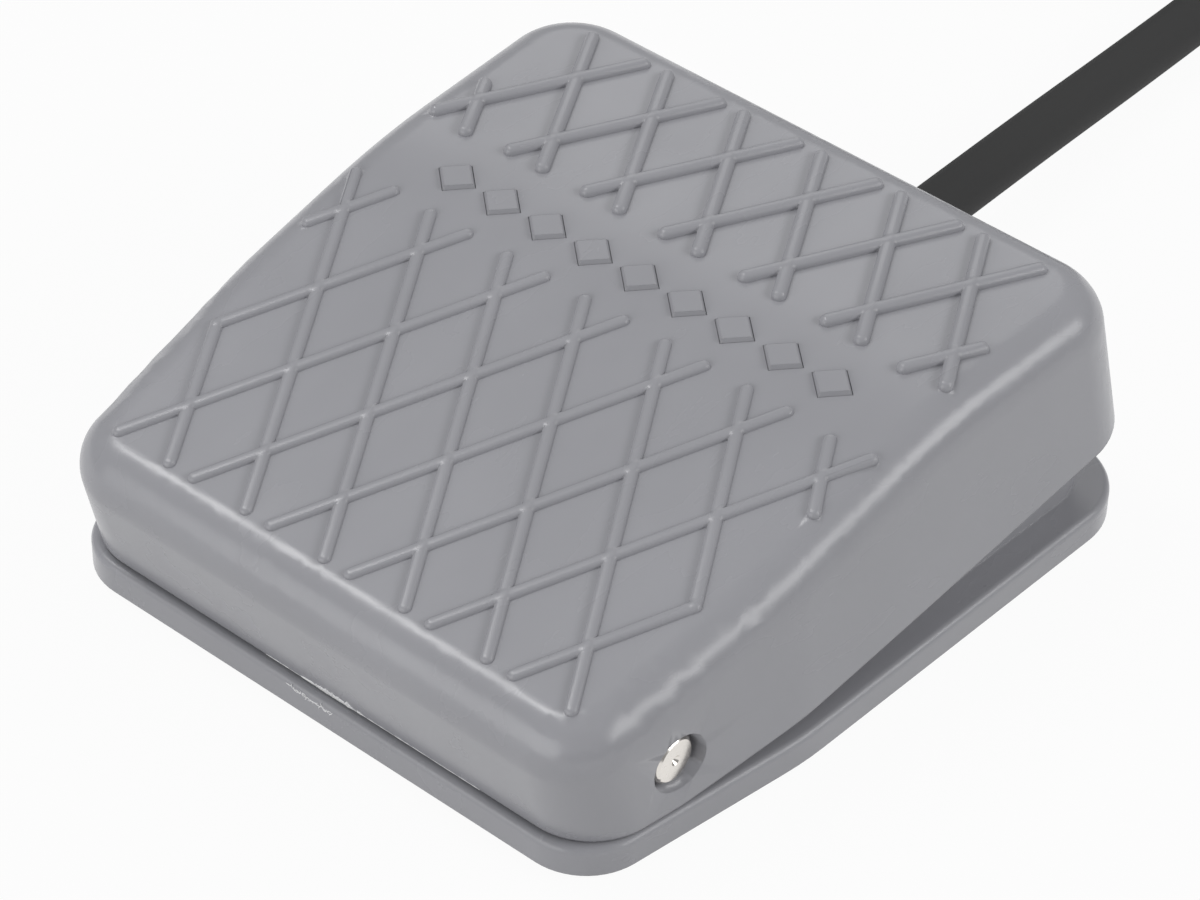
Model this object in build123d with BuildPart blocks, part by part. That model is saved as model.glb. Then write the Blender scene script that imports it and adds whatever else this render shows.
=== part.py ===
from build123d import *
import os
from math import cos, pi, radians, sin, tan

# A small foot switch: a moulded base tray, and a ribbed pedal that turns on a steel
# pin at the front. A coil spring lifts the pedal, and pressing it works a snap switch.
# Millimetres. X runs across, +Y to the rear where the cord leaves, +Z up.
# The origin is on the floor below the middle of the base.

# Base tray: plan
base_length = 77.6
base_front_half = 33.1
base_kink_half = 37.6
base_rear_half = 39.8
base_kink_from_front = 26.4
base_front_radius = 7.1
base_kink_radius = 40.0
base_rear_radius = 8.2
base_rim_height = 3.3
base_rim_round = 0.7
base_foot_edge_round = 0.15
tray_floor = 2.2
tray_wall_inset = 3.7
tray_wall = 1.8
tray_wall_height = 3.4

# Rubber feet
foot_proud = 0.8
foot_radius = 4.9
foot_recess = 1.0
foot_edge_round = 0.3
foot_clearance = 0.1
front_foot_from_side = 8.1
front_foot_from_front = 12.0
rear_foot_from_side = 8.8
rear_foot_from_rear = 10.6

# Pedal: plan at the rim's level, and at a level just above the crown
pedal_low_front_half = 32.9
pedal_low_kink_half = 37.2
pedal_low_rear_half = 40.2
pedal_low_front_from_front = 1.0
pedal_low_kink_from_front = 26.4
pedal_low_rear_from_front = 79.3
pedal_low_front_radius = 7.5
pedal_low_rear_radius = 8.5
pedal_high_front_half = 33.0
pedal_high_kink_half = 34.8
pedal_high_rear_half = 36.2
pedal_high_front_from_front = -4.3
pedal_high_kink_from_front = 27.0
pedal_high_rear_from_front = 76.9
pedal_high_front_radius = 6.4
pedal_high_rear_radius = 8.1
pedal_kink_radius = 40.0
pedal_high_above_ridge = 0.75

# Pedal: crown, seen from the side with the pedal up
ridge_from_front = 47.2
ridge_height = 26.45
front_slope = 11.26
rear_slope = 0.26
crown_radius = 75.0
crown_edge_round = 4.8
core_edge_round = 2.6
pedal_wall = 2.2
pedal_top = 2.3
skirt_gap = 0.25
pedal_travel = 6.5

# Hinge
pin_radius = 2.6
pin_half_length = 34.0
pin_chamfer = 0.4
pin_dimple_radius = 0.55
pin_dimple_depth = 0.5
pin_from_front = 11.4
pin_height = 9.1
running_clearance = 0.05
ear_inner = 24.4
ear_thickness = 4.6
ear_radius = 4.6
ear_foot_spread = 3.0
hinge_gap = 0.4
boss_radius = 4.8
boss_notch_clearance = 0.5
pin_mouth_radius = 3.15
pin_mouth_from_middle = 32.6

# Grip ribs: a diamond lattice on the front slope and another on the rear
rib_half_pitch = 5.0
rib_width = 1.25
rib_crest = 0.65
rib_height = 0.5
rib_root = 0.3
front_rib_row = 9.18
front_ribs_from_front = 9.38
rear_rib_row = 9.41
rear_rib_width = 1.4
rear_rib_crest = 0.9
rear_rib_height = 0.75
rear_ribs_from_front = 56.2

# Crossings of the long ribs, in half pitches from the middle, and how many rows each
# rib runs before and after its first crossing
front_crossings = (-5, -3, -1, 1, 3)
front_rows_before = 0.673
front_rows_after = 3.48
rear_crossings = (-6, -4, -2, 0, 2, 4)
rear_rows_before = 0.418
rear_rows_after = 1.689

# Short ribs near the corners: side, crossing, row, rows before it and rows after it
front_short_ribs = (
    (1, 5, 0, 0.673, 1.0),
    (-1, -5, 0, 0.673, 1.0),
    (1, -6, 1, 0.0, 2.48),
    (-1, 6, 1, 0.0, 2.48),
    (1, -6, 3, 0.36, 0.5),
    (-1, 6, 3, 0.4, 0.44),
)
rear_short_ribs = (
    (1, 6, 0, 0.48, 0.28),
    (-1, -6, 0, 0.48, 0.28),
)

# Grip studs: a row of raised lozenges along the ridge
stud_count = 9
stud_pitch = 5.9
stud_length = 5.0
stud_depth = 4.5
stud_height = 0.4
stud_from_front = 46.0

# Stiffening ribs inside the pedal
stiffener_x = 15.0
stiffener_thickness = 1.6
stiffener_depth = 2.6
stiffener_start_from_front = 20.0
stiffener_end_from_front = 70.0

# Return spring
spring_from_front = 50.0
spring_radius = 4.9
spring_wire = 1.0
spring_turns = 6
spring_seat_height = 1.0
spring_seat_radius = 6.2
spring_spigot_clearance = 0.5
spring_spigot_height = 3.5
spring_cap_depth = 2.4

# Snap switch, standing on the tray on its bracket
switch_length = 20.0
switch_thickness = 6.4
switch_height = 9.2
switch_cover_thickness = 1.4
switch_front_from_front = 20.0
switch_ground = 3.4
switch_edge_round = 0.4
switch_hole_spacing = 9.5
switch_hole_radius = 1.25
switch_hole_rise = 2.6
bracket_thickness = 3.2
bracket_spare = 1.0
bracket_gap = 0.05

# Lever and plunger of the snap switch
lever_width = 3.6
lever_thickness = 0.4
lever_pin_radius = 0.6
lever_pin_from_end = 1.7
lever_pin_rise = 1.35
lever_eye_wall = 0.45
lever_length = 21.0
lever_rest_angle = 10.2
lug_thickness = 1.0
lug_gap = 0.15
plunger_radius = 0.85
plunger_from_pivot = 4.6
plunger_length = 5.0
plunger_stroke = 0.9
presser_from_front = 40.0
presser_radius = 1.4
presser_half_width = 3.0
presser_take_up = 0.12

# Terminals and the screws that hold the switch
tag_thickness = 0.5
tag_width = 3.0
tag_drop = 2.9
tag_depth_in_case = 2.0
tag_hole_radius = 0.6
tag_pitch = 7.4
switch_screw_radius = 1.2
switch_screw_head_radius = 2.1
switch_screw_head = 1.3
screw_slot_width = 0.6
screw_slot_depth = 0.6
switch_screw_bite = 2.6

# Cord, clamp and strain relief
cord_radius = 3.0
cord_height = 6.0
sheath_end_from_front = 64.0
clamp_from_front = 67.6
clamp_length = 4.6
clamp_half_width = 10.6
clamp_gap = 0.6
clamp_thickness = 1.8
clamp_screw_x = 7.4
clamp_screw_radius = 1.25
clamp_screw_head_radius = 2.4
clamp_screw_head = 1.5
clamp_screw_length = 6.6
relief_neck_radius = 4.0
relief_collar_radius = 4.9
relief_collar = 1.5
relief_seat_clearance = 0.1
relief_tail = 12.0
relief_tail_radius = 3.6
relief_tail_root_radius = 4.6
relief_ring_count = 3
relief_ring_pitch = 2.9
relief_ring_width = 1.0
relief_ring_depth = 0.35
pedal_notch_radius = 6.2

# The free cord lies on the floor behind the switch, and its spare length is a coil
floor_clearance = 0.05
turn_slack = 0.1
cord_first_bend_y = 66.0
cord_second_bend_y = 99.0
coil_centre_x = -40.0
coil_centre_y = 152.0
coil_middle_radius = 32.0
coil_turns_across = 3
coil_layers = 2
coil_edge_round = 2.4
coil_lead_in = 28.0
coil_end_reach = 22.0
coil_end_length = 14.0
core_radius = 0.95
core_circle = 1.2
core_length = 22.0
core_fan = 3.0
tip_radius = 0.55
tip_length = 5.0

# Inner cores: where each one leaves the cord, and its lane beside the spring
core_leaves_from_front = (60.6, 61.4, 62.3)
core_joins_from_front = (54.8, 56.6, 58.4)
core_turn_in = 4.0
core_angle = 30.0
lane_first = 7.4
lane_pitch = 2.45
core_bend = 2.2


def from_front(distance):
    """The Y of a place measured back from the base's front edge."""
    return distance - base_length / 2


def plan_outline(front, kink, rear, radii):
    """A plan outline from three stations, each a half width and a Y, widening to the rear."""
    right = [front, kink, rear]
    left = [(-half, y) for half, y in reversed(right)]
    with BuildSketch() as plan:
        with BuildLine():
            FilletPolyline(*right, *left, radius=[*radii, *reversed(radii)], close=True)
        make_face()
    return plan.sketch


def base_plan(inset=0.0):
    return plan_outline(
        (base_front_half - inset, from_front(inset)),
        (base_kink_half - inset, from_front(base_kink_from_front)),
        (base_rear_half - inset, from_front(base_length - inset)),
        [base_front_radius - inset, base_kink_radius, base_rear_radius - inset],
    )


def pedal_plan_low(inset=0.0):
    return plan_outline(
        (pedal_low_front_half - inset, from_front(pedal_low_front_from_front + inset)),
        (pedal_low_kink_half - inset, from_front(pedal_low_kink_from_front)),
        (pedal_low_rear_half - inset, from_front(pedal_low_rear_from_front - inset)),
        [pedal_low_front_radius - inset, pedal_kink_radius, pedal_low_rear_radius - inset],
    )


def pedal_plan_high(inset=0.0):
    return plan_outline(
        (pedal_high_front_half - inset, from_front(pedal_high_front_from_front + inset)),
        (pedal_high_kink_half - inset, from_front(pedal_high_kink_from_front)),
        (pedal_high_rear_half - inset, from_front(pedal_high_rear_from_front - inset)),
        [pedal_high_front_radius - inset, pedal_kink_radius, pedal_high_rear_radius - inset],
    )


def crown_rim(shell, reach):
    """The edges around a shell's crown, found by the crown's upward faces."""
    crown = shell.faces().filter_by(lambda face: face.normal_at().Z > reach).edges()
    return [edge for edge in crown if crown.count(edge) == 1]


def crown_points(drop):
    """Front end, ridge and rear end of the crown's side line, lowered by drop."""
    top = ridge_z - drop
    return (
        (-side_reach, top - (ridge_y + side_reach) * tan(radians(front_slope))),
        (ridge_y, top),
        (side_reach, top + (side_reach - ridge_y) * tan(radians(rear_slope))),
    )


def under_crown(drop, low):
    """The side region below the crown line, down to the level low."""
    with BuildSketch() as region:
        with BuildLine():
            line = FilletPolyline(*crown_points(drop), radius=crown_radius)
            Polyline(line @ 1, (side_reach, low), (-side_reach, low), line @ 0)
        make_face()
    return region.sketch


def crown_band(drop, deeper):
    """The side region between two lowered copies of the crown line."""
    with BuildSketch() as region:
        with BuildLine():
            upper = FilletPolyline(*crown_points(drop), radius=crown_radius)
            lower = FilletPolyline(*crown_points(deeper), radius=crown_radius)
            Line(upper @ 0, lower @ 0)
            Line(upper @ 1, lower @ 1)
        make_face()
    return region.sketch


def lifted(y, z):
    """Where a point of the pressed pedal stands once the pedal is up."""
    angle = radians(pedal_travel)
    back = y - pin_y
    up = z - pin_z
    return (
        pin_y + back * cos(angle) - up * sin(angle),
        pin_z + back * sin(angle) + up * cos(angle),
    )


def crown_front_z(y):
    """Height of the front slope's plane at Y."""
    return ridge_z - (ridge_y - y) * tan(radians(front_slope))


def crown_rear_z(y):
    """Height of the rear slope's plane at Y."""
    return ridge_z + (y - ridge_y) * tan(radians(rear_slope))


# Levels and places that several pieces share
bottom = foot_proud
rim_top = bottom + base_rim_height
floor_top = bottom + tray_floor
wall_top = rim_top + tray_wall_height
pin_y = from_front(pin_from_front)
pin_z = bottom + pin_height
ridge_y = from_front(ridge_from_front)
ridge_z = bottom + ridge_height
side_reach = base_length
cord_z = bottom + cord_height
ear_outer = ear_inner + ear_thickness
boss_inner = ear_outer + hinge_gap

# Base tray: rim, raised wall, hinge ears and the seats for what it carries
wall_outer_y = from_front(base_length - tray_wall_inset)
wall_inner_y = wall_outer_y - tray_wall
spring_y = from_front(spring_from_front)
spring_floor = floor_top + spring_seat_height
spring_bore = spring_radius - spring_wire / 2
switch_front_y = from_front(switch_front_from_front)
switch_mid_y = switch_front_y + switch_length / 2
switch_bottom = floor_top + switch_ground
switch_top = switch_bottom + switch_height
switch_hole_z = switch_bottom + switch_hole_rise
clamp_y = from_front(clamp_from_front)
saddle_top = cord_z - clamp_gap / 2
front_foot_x = base_front_half - front_foot_from_side
rear_foot_x = base_rear_half - rear_foot_from_side
front_foot_y = from_front(front_foot_from_front)
rear_foot_y = from_front(base_length - rear_foot_from_rear)
foot_places = {
    "foot_front_left": (-front_foot_x, front_foot_y),
    "foot_front_right": (front_foot_x, front_foot_y),
    "foot_rear_left": (-rear_foot_x, rear_foot_y),
    "foot_rear_right": (rear_foot_x, rear_foot_y),
}

with BuildPart() as base:
    with BuildSketch(Plane.XY.offset(bottom)):
        add(base_plan())
    extrude(amount=base_rim_height)
    fillet(base.faces().sort_by(Axis.Z)[-1].edges(), base_rim_round)
    fillet(base.faces().sort_by(Axis.Z)[0].edges(), base_foot_edge_round)
    with BuildSketch(Plane.XY.offset(rim_top)):
        add(base_plan(tray_wall_inset))
    extrude(amount=tray_wall_height)
    with BuildSketch(Plane.XY.offset(floor_top)):
        add(base_plan(tray_wall_inset + tray_wall))
    extrude(amount=wall_top - floor_top, mode=Mode.SUBTRACT)
    # Room in the raised wall for the pedal's hinge bosses
    with BuildSketch(Plane.YZ):
        with Locations((pin_y, pin_z)):
            Circle(boss_radius + boss_notch_clearance)
    extrude(amount=base_rear_half, both=True, mode=Mode.SUBTRACT)
    # Hinge ears
    with BuildSketch(Plane.YZ.offset(ear_inner)) as ear_profile:
        with Locations((pin_y, pin_z)):
            Circle(ear_radius)
        with BuildLine():
            Polyline(
                (pin_y - ear_radius - ear_foot_spread, floor_top),
                (pin_y + ear_radius + ear_foot_spread, floor_top),
                (pin_y + ear_radius, pin_z),
                (pin_y - ear_radius, pin_z),
                close=True,
            )
        make_face()
    extrude(amount=ear_thickness)
    with BuildSketch(Plane.YZ.offset(-ear_outer)):
        add(ear_profile.sketch_local)
    extrude(amount=ear_thickness)
    with BuildSketch(Plane.YZ):
        with Locations((pin_y, pin_z)):
            Circle(pin_radius)
    extrude(amount=base_rear_half, both=True, mode=Mode.SUBTRACT)
    # Spring seat and its spigot
    with BuildSketch(Plane.XY.offset(floor_top)):
        with Locations((0, spring_y)):
            Circle(spring_seat_radius)
    extrude(amount=spring_seat_height)
    with BuildSketch(Plane.XY.offset(spring_floor)):
        with Locations((0, spring_y)):
            Circle(spring_bore - spring_spigot_clearance)
    extrude(amount=spring_spigot_height)
    # Bracket that the snap switch is screwed to
    with BuildSketch(Plane.XY.offset(floor_top)):
        with Locations((-switch_thickness / 2 - bracket_gap - bracket_thickness / 2, switch_mid_y)):
            Rectangle(bracket_thickness, switch_length + 2 * bracket_spare)
    extrude(amount=switch_hole_z + switch_hole_rise - floor_top)
    with BuildSketch(Plane.YZ.offset(-switch_thickness / 2)):
        with Locations((switch_mid_y, switch_hole_z)):
            with GridLocations(switch_hole_spacing, 1, 2, 1):
                Circle(switch_screw_radius)
    extrude(amount=-switch_screw_bite - bracket_gap, mode=Mode.SUBTRACT)
    # Saddle for the cord clamp, with its pilot holes
    with BuildSketch(Plane.XY.offset(floor_top)):
        with Locations((0, clamp_y)):
            Rectangle(2 * clamp_half_width, clamp_length)
    extrude(amount=saddle_top - floor_top)
    with BuildSketch(Plane.XY.offset(saddle_top)):
        with Locations((-clamp_screw_x, clamp_y), (clamp_screw_x, clamp_y)):
            Circle(clamp_screw_radius)
    extrude(amount=clamp_thickness + clamp_gap - clamp_screw_length, mode=Mode.SUBTRACT)
    with BuildSketch(Plane.XZ.offset(-(clamp_y + clamp_length))):
        with Locations((0, cord_z)):
            Circle(cord_radius)
    extrude(amount=2 * clamp_length, mode=Mode.SUBTRACT)
    # Gap in the rear wall, and the channel in the rim, for the strain relief
    with BuildSketch(Plane.XZ.offset(-wall_outer_y)):
        with Locations((0, cord_z)):
            Circle(relief_neck_radius)
        with Locations((0, cord_z + relief_neck_radius)):
            Rectangle(2 * relief_neck_radius, 2 * relief_neck_radius)
    extrude(amount=tray_wall, mode=Mode.SUBTRACT)
    with BuildSketch(Plane.XZ.offset(-base_length)):
        with Locations((0, cord_z)):
            Circle(relief_collar_radius + relief_seat_clearance)
    extrude(amount=base_length - wall_outer_y, mode=Mode.SUBTRACT)
    with BuildSketch(Plane.XZ.offset(-wall_inner_y)):
        with Locations((0, cord_z)):
            Circle(relief_collar_radius + relief_seat_clearance)
    extrude(amount=relief_collar + relief_seat_clearance, mode=Mode.SUBTRACT)
    # Recesses for the feet
    with BuildSketch(Plane.XY.offset(bottom)):
        with Locations(*foot_places.values()):
            Circle(foot_radius + foot_clearance)
    extrude(amount=foot_recess, mode=Mode.SUBTRACT)
base.part.label = "base"

# Pedal core: the hollow inside the pedal
crown_level = ridge_z + pedal_high_above_ridge
core_low = rim_top - base_rim_height
upward = cos(radians(2 * front_slope))

with BuildPart() as pedal_core:
    with BuildSketch(Plane.XY.offset(rim_top)):
        add(pedal_plan_low(pedal_wall))
    with BuildSketch(Plane.XY.offset(crown_level)):
        add(pedal_plan_high(pedal_wall))
    loft(ruled=True)
    with BuildSketch(Plane.YZ):
        add(under_crown(pedal_top, core_low))
    extrude(amount=side_reach, both=True, mode=Mode.INTERSECT)
    fillet(crown_rim(pedal_core, upward), core_edge_round)

# Pedal: ribbed shell with hinge bosses, spring cap and presser
lower_edge = rim_top + skirt_gap
lower_bend_y = pin_y + (pin_z - lower_edge) * tan(radians(pedal_travel) / 2)
notch_z = lifted(from_front(base_length), cord_z)[1]
front_rib_y = from_front(front_ribs_from_front)
rear_rib_y = from_front(rear_ribs_from_front)
front_rib_plane = Plane(
    origin=(0, front_rib_y, crown_front_z(front_rib_y)),
    x_dir=(1, 0, 0),
    z_dir=(0, -sin(radians(front_slope)), cos(radians(front_slope))),
)
rear_rib_plane = Plane(
    origin=(0, rear_rib_y, crown_rear_z(rear_rib_y)),
    x_dir=(1, 0, 0),
    z_dir=(0, -sin(radians(rear_slope)), cos(radians(rear_slope))),
)


def lattice_rib(side, across, row, before, after, pitch):
    """A rib through a crossing of the lattice: its two ends on the sloping plane.

    The crossing stands across half pitches from the middle and on the given row,
    and the rib runs before rows towards the hinge and after rows away from it.
    Side is 1 for a rib that leans right as it goes back, and -1 for one that leans left.
    """
    return [
        ((across + side * step) * rib_half_pitch, (row + step) * pitch)
        for step in (-before, after)
    ]


# Each lattice: its long ribs lean both ways, and short ones finish the corners
front_ribs = [
    lattice_rib(side, side * crossing, 0, front_rows_before, front_rows_after, front_rib_row)
    for side in (1, -1)
    for crossing in front_crossings
]
front_ribs += [lattice_rib(*rib, front_rib_row) for rib in front_short_ribs]
rear_ribs = [
    lattice_rib(side, side * crossing, 0, rear_rows_before, rear_rows_after, rear_rib_row)
    for side in (1, -1)
    for crossing in rear_crossings
]
rear_ribs += [lattice_rib(*rib, rear_rib_row) for rib in rear_short_ribs]


def grip_lattice(plane, ribs, width, crest, height):
    """Round-ended ribs that stand on a plane and narrow towards their crests."""
    with BuildPart() as lattice:
        for start, end in ribs:
            middle = (Vector(*start) + Vector(*end)) / 2
            along = Vector(*end) - Vector(*start)
            turn = Vector(1, 0).get_signed_angle(along, Vector(0, 0, 1))
            with BuildSketch(plane.offset(-rib_root)):
                with Locations(Location((middle.X, middle.Y), turn)):
                    SlotCenterToCenter(along.length, width)
            with BuildSketch(plane.offset(height)):
                with Locations(Location((middle.X, middle.Y), turn)):
                    SlotCenterToCenter(along.length, crest)
            loft(ruled=True)
    return lattice.part


with BuildPart() as studs:
    with BuildSketch(Plane.XY.offset(floor_top)):
        with Locations((0, from_front(stud_from_front))):
            with GridLocations(stud_pitch, 1, stud_count, 1):
                Polygon(
                    (-stud_length / 2, 0),
                    (0, -stud_depth / 2),
                    (stud_length / 2, 0),
                    (0, stud_depth / 2),
                )
    extrude(amount=2 * ridge_z)
    with BuildSketch(Plane.YZ):
        add(crown_band(-stud_height, rib_root))
    extrude(amount=side_reach, both=True, mode=Mode.INTERSECT)

spring_top = crown_front_z(spring_y) - pedal_top - spring_cap_depth
presser_y = from_front(presser_from_front)
lever_pivot_y = switch_front_y + lever_pin_from_end
lever_pivot_z = switch_top + lever_pin_rise
lever_reach = presser_y - lever_pivot_y
lever_lift = lever_pin_radius + running_clearance + lever_eye_wall
presser_z = (
    lever_pivot_z
    + lever_reach * tan(radians(lever_rest_angle))
    + (lever_lift + presser_radius + presser_take_up) / cos(radians(lever_rest_angle))
)

with BuildPart() as pedal:
    with BuildSketch(Plane.XY.offset(rim_top)):
        add(pedal_plan_low())
    with BuildSketch(Plane.XY.offset(crown_level)):
        add(pedal_plan_high())
    loft(ruled=True)
    with BuildSketch(Plane.YZ):
        add(under_crown(0.0, core_low))
    extrude(amount=side_reach, both=True, mode=Mode.INTERSECT)
    fillet(crown_rim(pedal, upward), crown_edge_round)
    add(pedal_core.part, mode=Mode.SUBTRACT)
    # Stiffening ribs under the crown
    with BuildSketch(Plane.YZ.offset(stiffener_x - stiffener_thickness / 2)) as stiffener:
        add(crown_band(pedal_top / 2, pedal_top + stiffener_depth))
        with Locations((from_front((stiffener_start_from_front + stiffener_end_from_front) / 2), 0)):
            Rectangle(
                stiffener_end_from_front - stiffener_start_from_front,
                4 * ridge_z,
                mode=Mode.INTERSECT,
            )
    extrude(amount=stiffener_thickness)
    with BuildSketch(Plane.YZ.offset(-stiffener_x - stiffener_thickness / 2)):
        add(stiffener.sketch_local)
    extrude(amount=stiffener_thickness)
    # Hinge bosses inside the side walls
    boss_reach = pedal_low_front_half - pedal_wall / 2
    for face_x in (boss_inner, -boss_reach):
        with BuildSketch(Plane.YZ.offset(face_x)):
            with Locations((pin_y, pin_z)):
                Circle(boss_radius)
        extrude(amount=boss_reach - boss_inner)
    # Spring cap with its spigot
    with BuildSketch(Plane.XY.offset(spring_top)):
        with Locations((0, spring_y)):
            Circle(spring_seat_radius)
    extrude(amount=spring_cap_depth + pedal_top / 2)
    with BuildSketch(Plane.XY.offset(spring_top)):
        with Locations((0, spring_y)):
            Circle(spring_bore - 2 * spring_spigot_clearance)
    extrude(amount=-spring_cap_depth)
    # Presser that works the switch lever
    with BuildSketch(Plane.YZ):
        with Locations((presser_y, presser_z)):
            Circle(presser_radius)
        with BuildLine():
            Polyline(
                (presser_y - presser_radius, presser_z),
                (presser_y + presser_radius, presser_z),
                (presser_y + presser_radius, crown_front_z(presser_y) - pedal_top / 2),
                (presser_y - presser_radius, crown_front_z(presser_y) - pedal_top / 2),
                close=True,
            )
        make_face()
    extrude(amount=presser_half_width, both=True)
    # Level lower edge ahead of the pin, which rests on the rim, and a rising one behind it
    rear_low = lower_edge + (side_reach - lower_bend_y) * tan(radians(pedal_travel))
    with BuildSketch(Plane.YZ):
        with BuildLine():
            Polyline(
                (-side_reach, lower_edge),
                (lower_bend_y, lower_edge),
                (side_reach, rear_low),
                (side_reach, -side_reach),
                (-side_reach, -side_reach),
                close=True,
            )
        make_face()
    extrude(amount=side_reach, both=True, mode=Mode.SUBTRACT)
    # Arch in the rear wall that drops over the strain relief
    with BuildSketch(Plane.XZ.offset(-side_reach)):
        with Locations((0, notch_z)):
            Circle(pedal_notch_radius)
        with Locations((0, notch_z - ridge_z / 2)):
            Rectangle(2 * pedal_notch_radius, ridge_z)
    extrude(amount=side_reach - spring_y - spring_seat_radius, mode=Mode.SUBTRACT)
    # Pin bore, with a wider mouth at each side
    with BuildSketch(Plane.YZ):
        with Locations((pin_y, pin_z)):
            Circle(pin_radius + running_clearance)
    extrude(amount=base_rear_half, both=True, mode=Mode.SUBTRACT)
    for face_x in (pin_mouth_from_middle, -base_rear_half):
        with BuildSketch(Plane.YZ.offset(face_x)):
            with Locations((pin_y, pin_z)):
                Circle(pin_mouth_radius)
        extrude(amount=base_rear_half - pin_mouth_from_middle, mode=Mode.SUBTRACT)
    # Grip ribs and studs
    add(grip_lattice(front_rib_plane, front_ribs, rib_width, rib_crest, rib_height))
    add(grip_lattice(rear_rib_plane, rear_ribs, rear_rib_width, rear_rib_crest, rear_rib_height))
    add(studs.part)
pedal.part.label = "pedal"

# Hinge pin, held in the ears
with BuildPart() as hinge_pin:
    with BuildSketch(Plane.YZ.offset(-pin_half_length)):
        with Locations((pin_y, pin_z)):
            Circle(pin_radius)
    extrude(amount=2 * pin_half_length)
    chamfer(hinge_pin.edges().filter_by(GeomType.CIRCLE), pin_chamfer)
    for end in (-1, 1):
        with Locations(Location((end * pin_half_length, pin_y, pin_z), (0, end * 90, 0))):
            CounterSinkHole(
                radius=pin_dimple_radius / 4,
                counter_sink_radius=pin_dimple_radius,
                depth=pin_dimple_depth,
            )
hinge_pin.part.label = "hinge_pin"

# Return spring, between the tray's seat and the pedal's cap
spring_length = spring_top - spring_floor
with BuildPart() as return_spring:
    with BuildLine(Plane.XY.offset(spring_floor + spring_wire / 2)):
        spring_line = Helix(
            pitch=(spring_length - spring_wire) / spring_turns,
            height=spring_length - spring_wire,
            radius=spring_radius,
            center=(0, spring_y, 0),
        )
    with BuildSketch(Plane(origin=spring_line @ 0, z_dir=spring_line % 0)):
        Circle(spring_wire / 2)
    sweep(path=spring_line, is_frenet=True)
return_spring.part.label = "return_spring"

# Snap switch: case, cover, lever, lever pin, plunger and terminals
cover_inner = switch_thickness / 2 - switch_cover_thickness
plunger_y = lever_pivot_y + plunger_from_pivot
tag_places = {
    "terminal_common": switch_mid_y - tag_pitch,
    "terminal_closed": switch_mid_y,
    "terminal_open": switch_mid_y + tag_pitch,
}

with BuildPart() as switch_case:
    with BuildSketch(Plane.YZ.offset(-switch_thickness / 2)):
        with Locations((switch_mid_y, switch_bottom + switch_height / 2)):
            RectangleRounded(switch_length, switch_height, switch_edge_round)
    extrude(amount=switch_thickness - switch_cover_thickness)
    # Lugs for the lever pin
    lug_inner = lever_width / 2 + lug_gap
    with BuildSketch(Plane.YZ.offset(-lug_inner - lug_thickness)):
        with Locations((lever_pivot_y, lever_pivot_z)):
            Circle(lever_pin_rise)
        with Locations((lever_pivot_y, switch_top)):
            Rectangle(2 * lever_pin_rise, 2 * lever_pin_rise)
    extrude(amount=lug_thickness)
    with BuildSketch(Plane.YZ.offset(-switch_thickness / 2)):
        with Locations((lever_pivot_y, lever_pivot_z)):
            Circle(lever_pin_radius)
    extrude(amount=switch_thickness / 2, mode=Mode.SUBTRACT)
    # Screw holes, plunger hole and terminal slots
    with BuildSketch(Plane.YZ.offset(-switch_thickness / 2)):
        with Locations((switch_mid_y, switch_hole_z)):
            with GridLocations(switch_hole_spacing, 1, 2, 1):
                Circle(switch_hole_radius)
    extrude(amount=switch_thickness, mode=Mode.SUBTRACT)
    with BuildSketch(Plane.XY.offset(switch_top)):
        with Locations((0, plunger_y)):
            Circle(plunger_radius + running_clearance)
    extrude(amount=-plunger_length - plunger_stroke, mode=Mode.SUBTRACT)
    with BuildSketch(Plane.XY.offset(switch_bottom)):
        with Locations(*[(0, y) for y in tag_places.values()]):
            Rectangle(tag_thickness, tag_width)
    extrude(amount=tag_depth_in_case, mode=Mode.SUBTRACT)
switch_case.part.label = "switch_case"

with BuildPart() as switch_cover:
    with BuildSketch(Plane.YZ.offset(cover_inner)):
        with Locations((switch_mid_y, switch_bottom + switch_height / 2)):
            RectangleRounded(switch_length, switch_height, switch_edge_round)
    extrude(amount=switch_cover_thickness)
    with BuildSketch(Plane.YZ.offset(lug_inner)):
        with Locations((lever_pivot_y, lever_pivot_z)):
            Circle(lever_pin_rise)
        with Locations((lever_pivot_y, switch_top)):
            Rectangle(2 * lever_pin_rise, 2 * lever_pin_rise)
    extrude(amount=lug_thickness)
    with BuildSketch(Plane.YZ.offset(cover_inner)):
        with Locations((lever_pivot_y, lever_pivot_z)):
            Circle(lever_pin_radius)
        with Locations((switch_mid_y, switch_hole_z)):
            with GridLocations(switch_hole_spacing, 1, 2, 1):
                Circle(switch_hole_radius)
    extrude(amount=switch_thickness, mode=Mode.SUBTRACT)
switch_cover.part.label = "switch_cover"

with BuildPart() as lever_pin:
    with BuildSketch(Plane.YZ.offset(-lug_inner - lug_thickness)):
        with Locations((lever_pivot_y, lever_pivot_z)):
            Circle(lever_pin_radius)
    extrude(amount=2 * (lug_inner + lug_thickness))
lever_pin.part.label = "lever_pin"

lever_plane = Plane(
    origin=(0, lever_pivot_y, lever_pivot_z),
    x_dir=(0, cos(radians(lever_rest_angle)), sin(radians(lever_rest_angle))),
    z_dir=(1, 0, 0),
)
with BuildPart() as switch_lever:
    with BuildSketch(lever_plane):
        Circle(lever_lift)
        with Locations((lever_length / 2, lever_lift - lever_thickness / 2)):
            Rectangle(lever_length, lever_thickness)
        Circle(lever_pin_radius + running_clearance, mode=Mode.SUBTRACT)
    extrude(amount=lever_width / 2, both=True)
switch_lever.part.label = "switch_lever"

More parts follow.
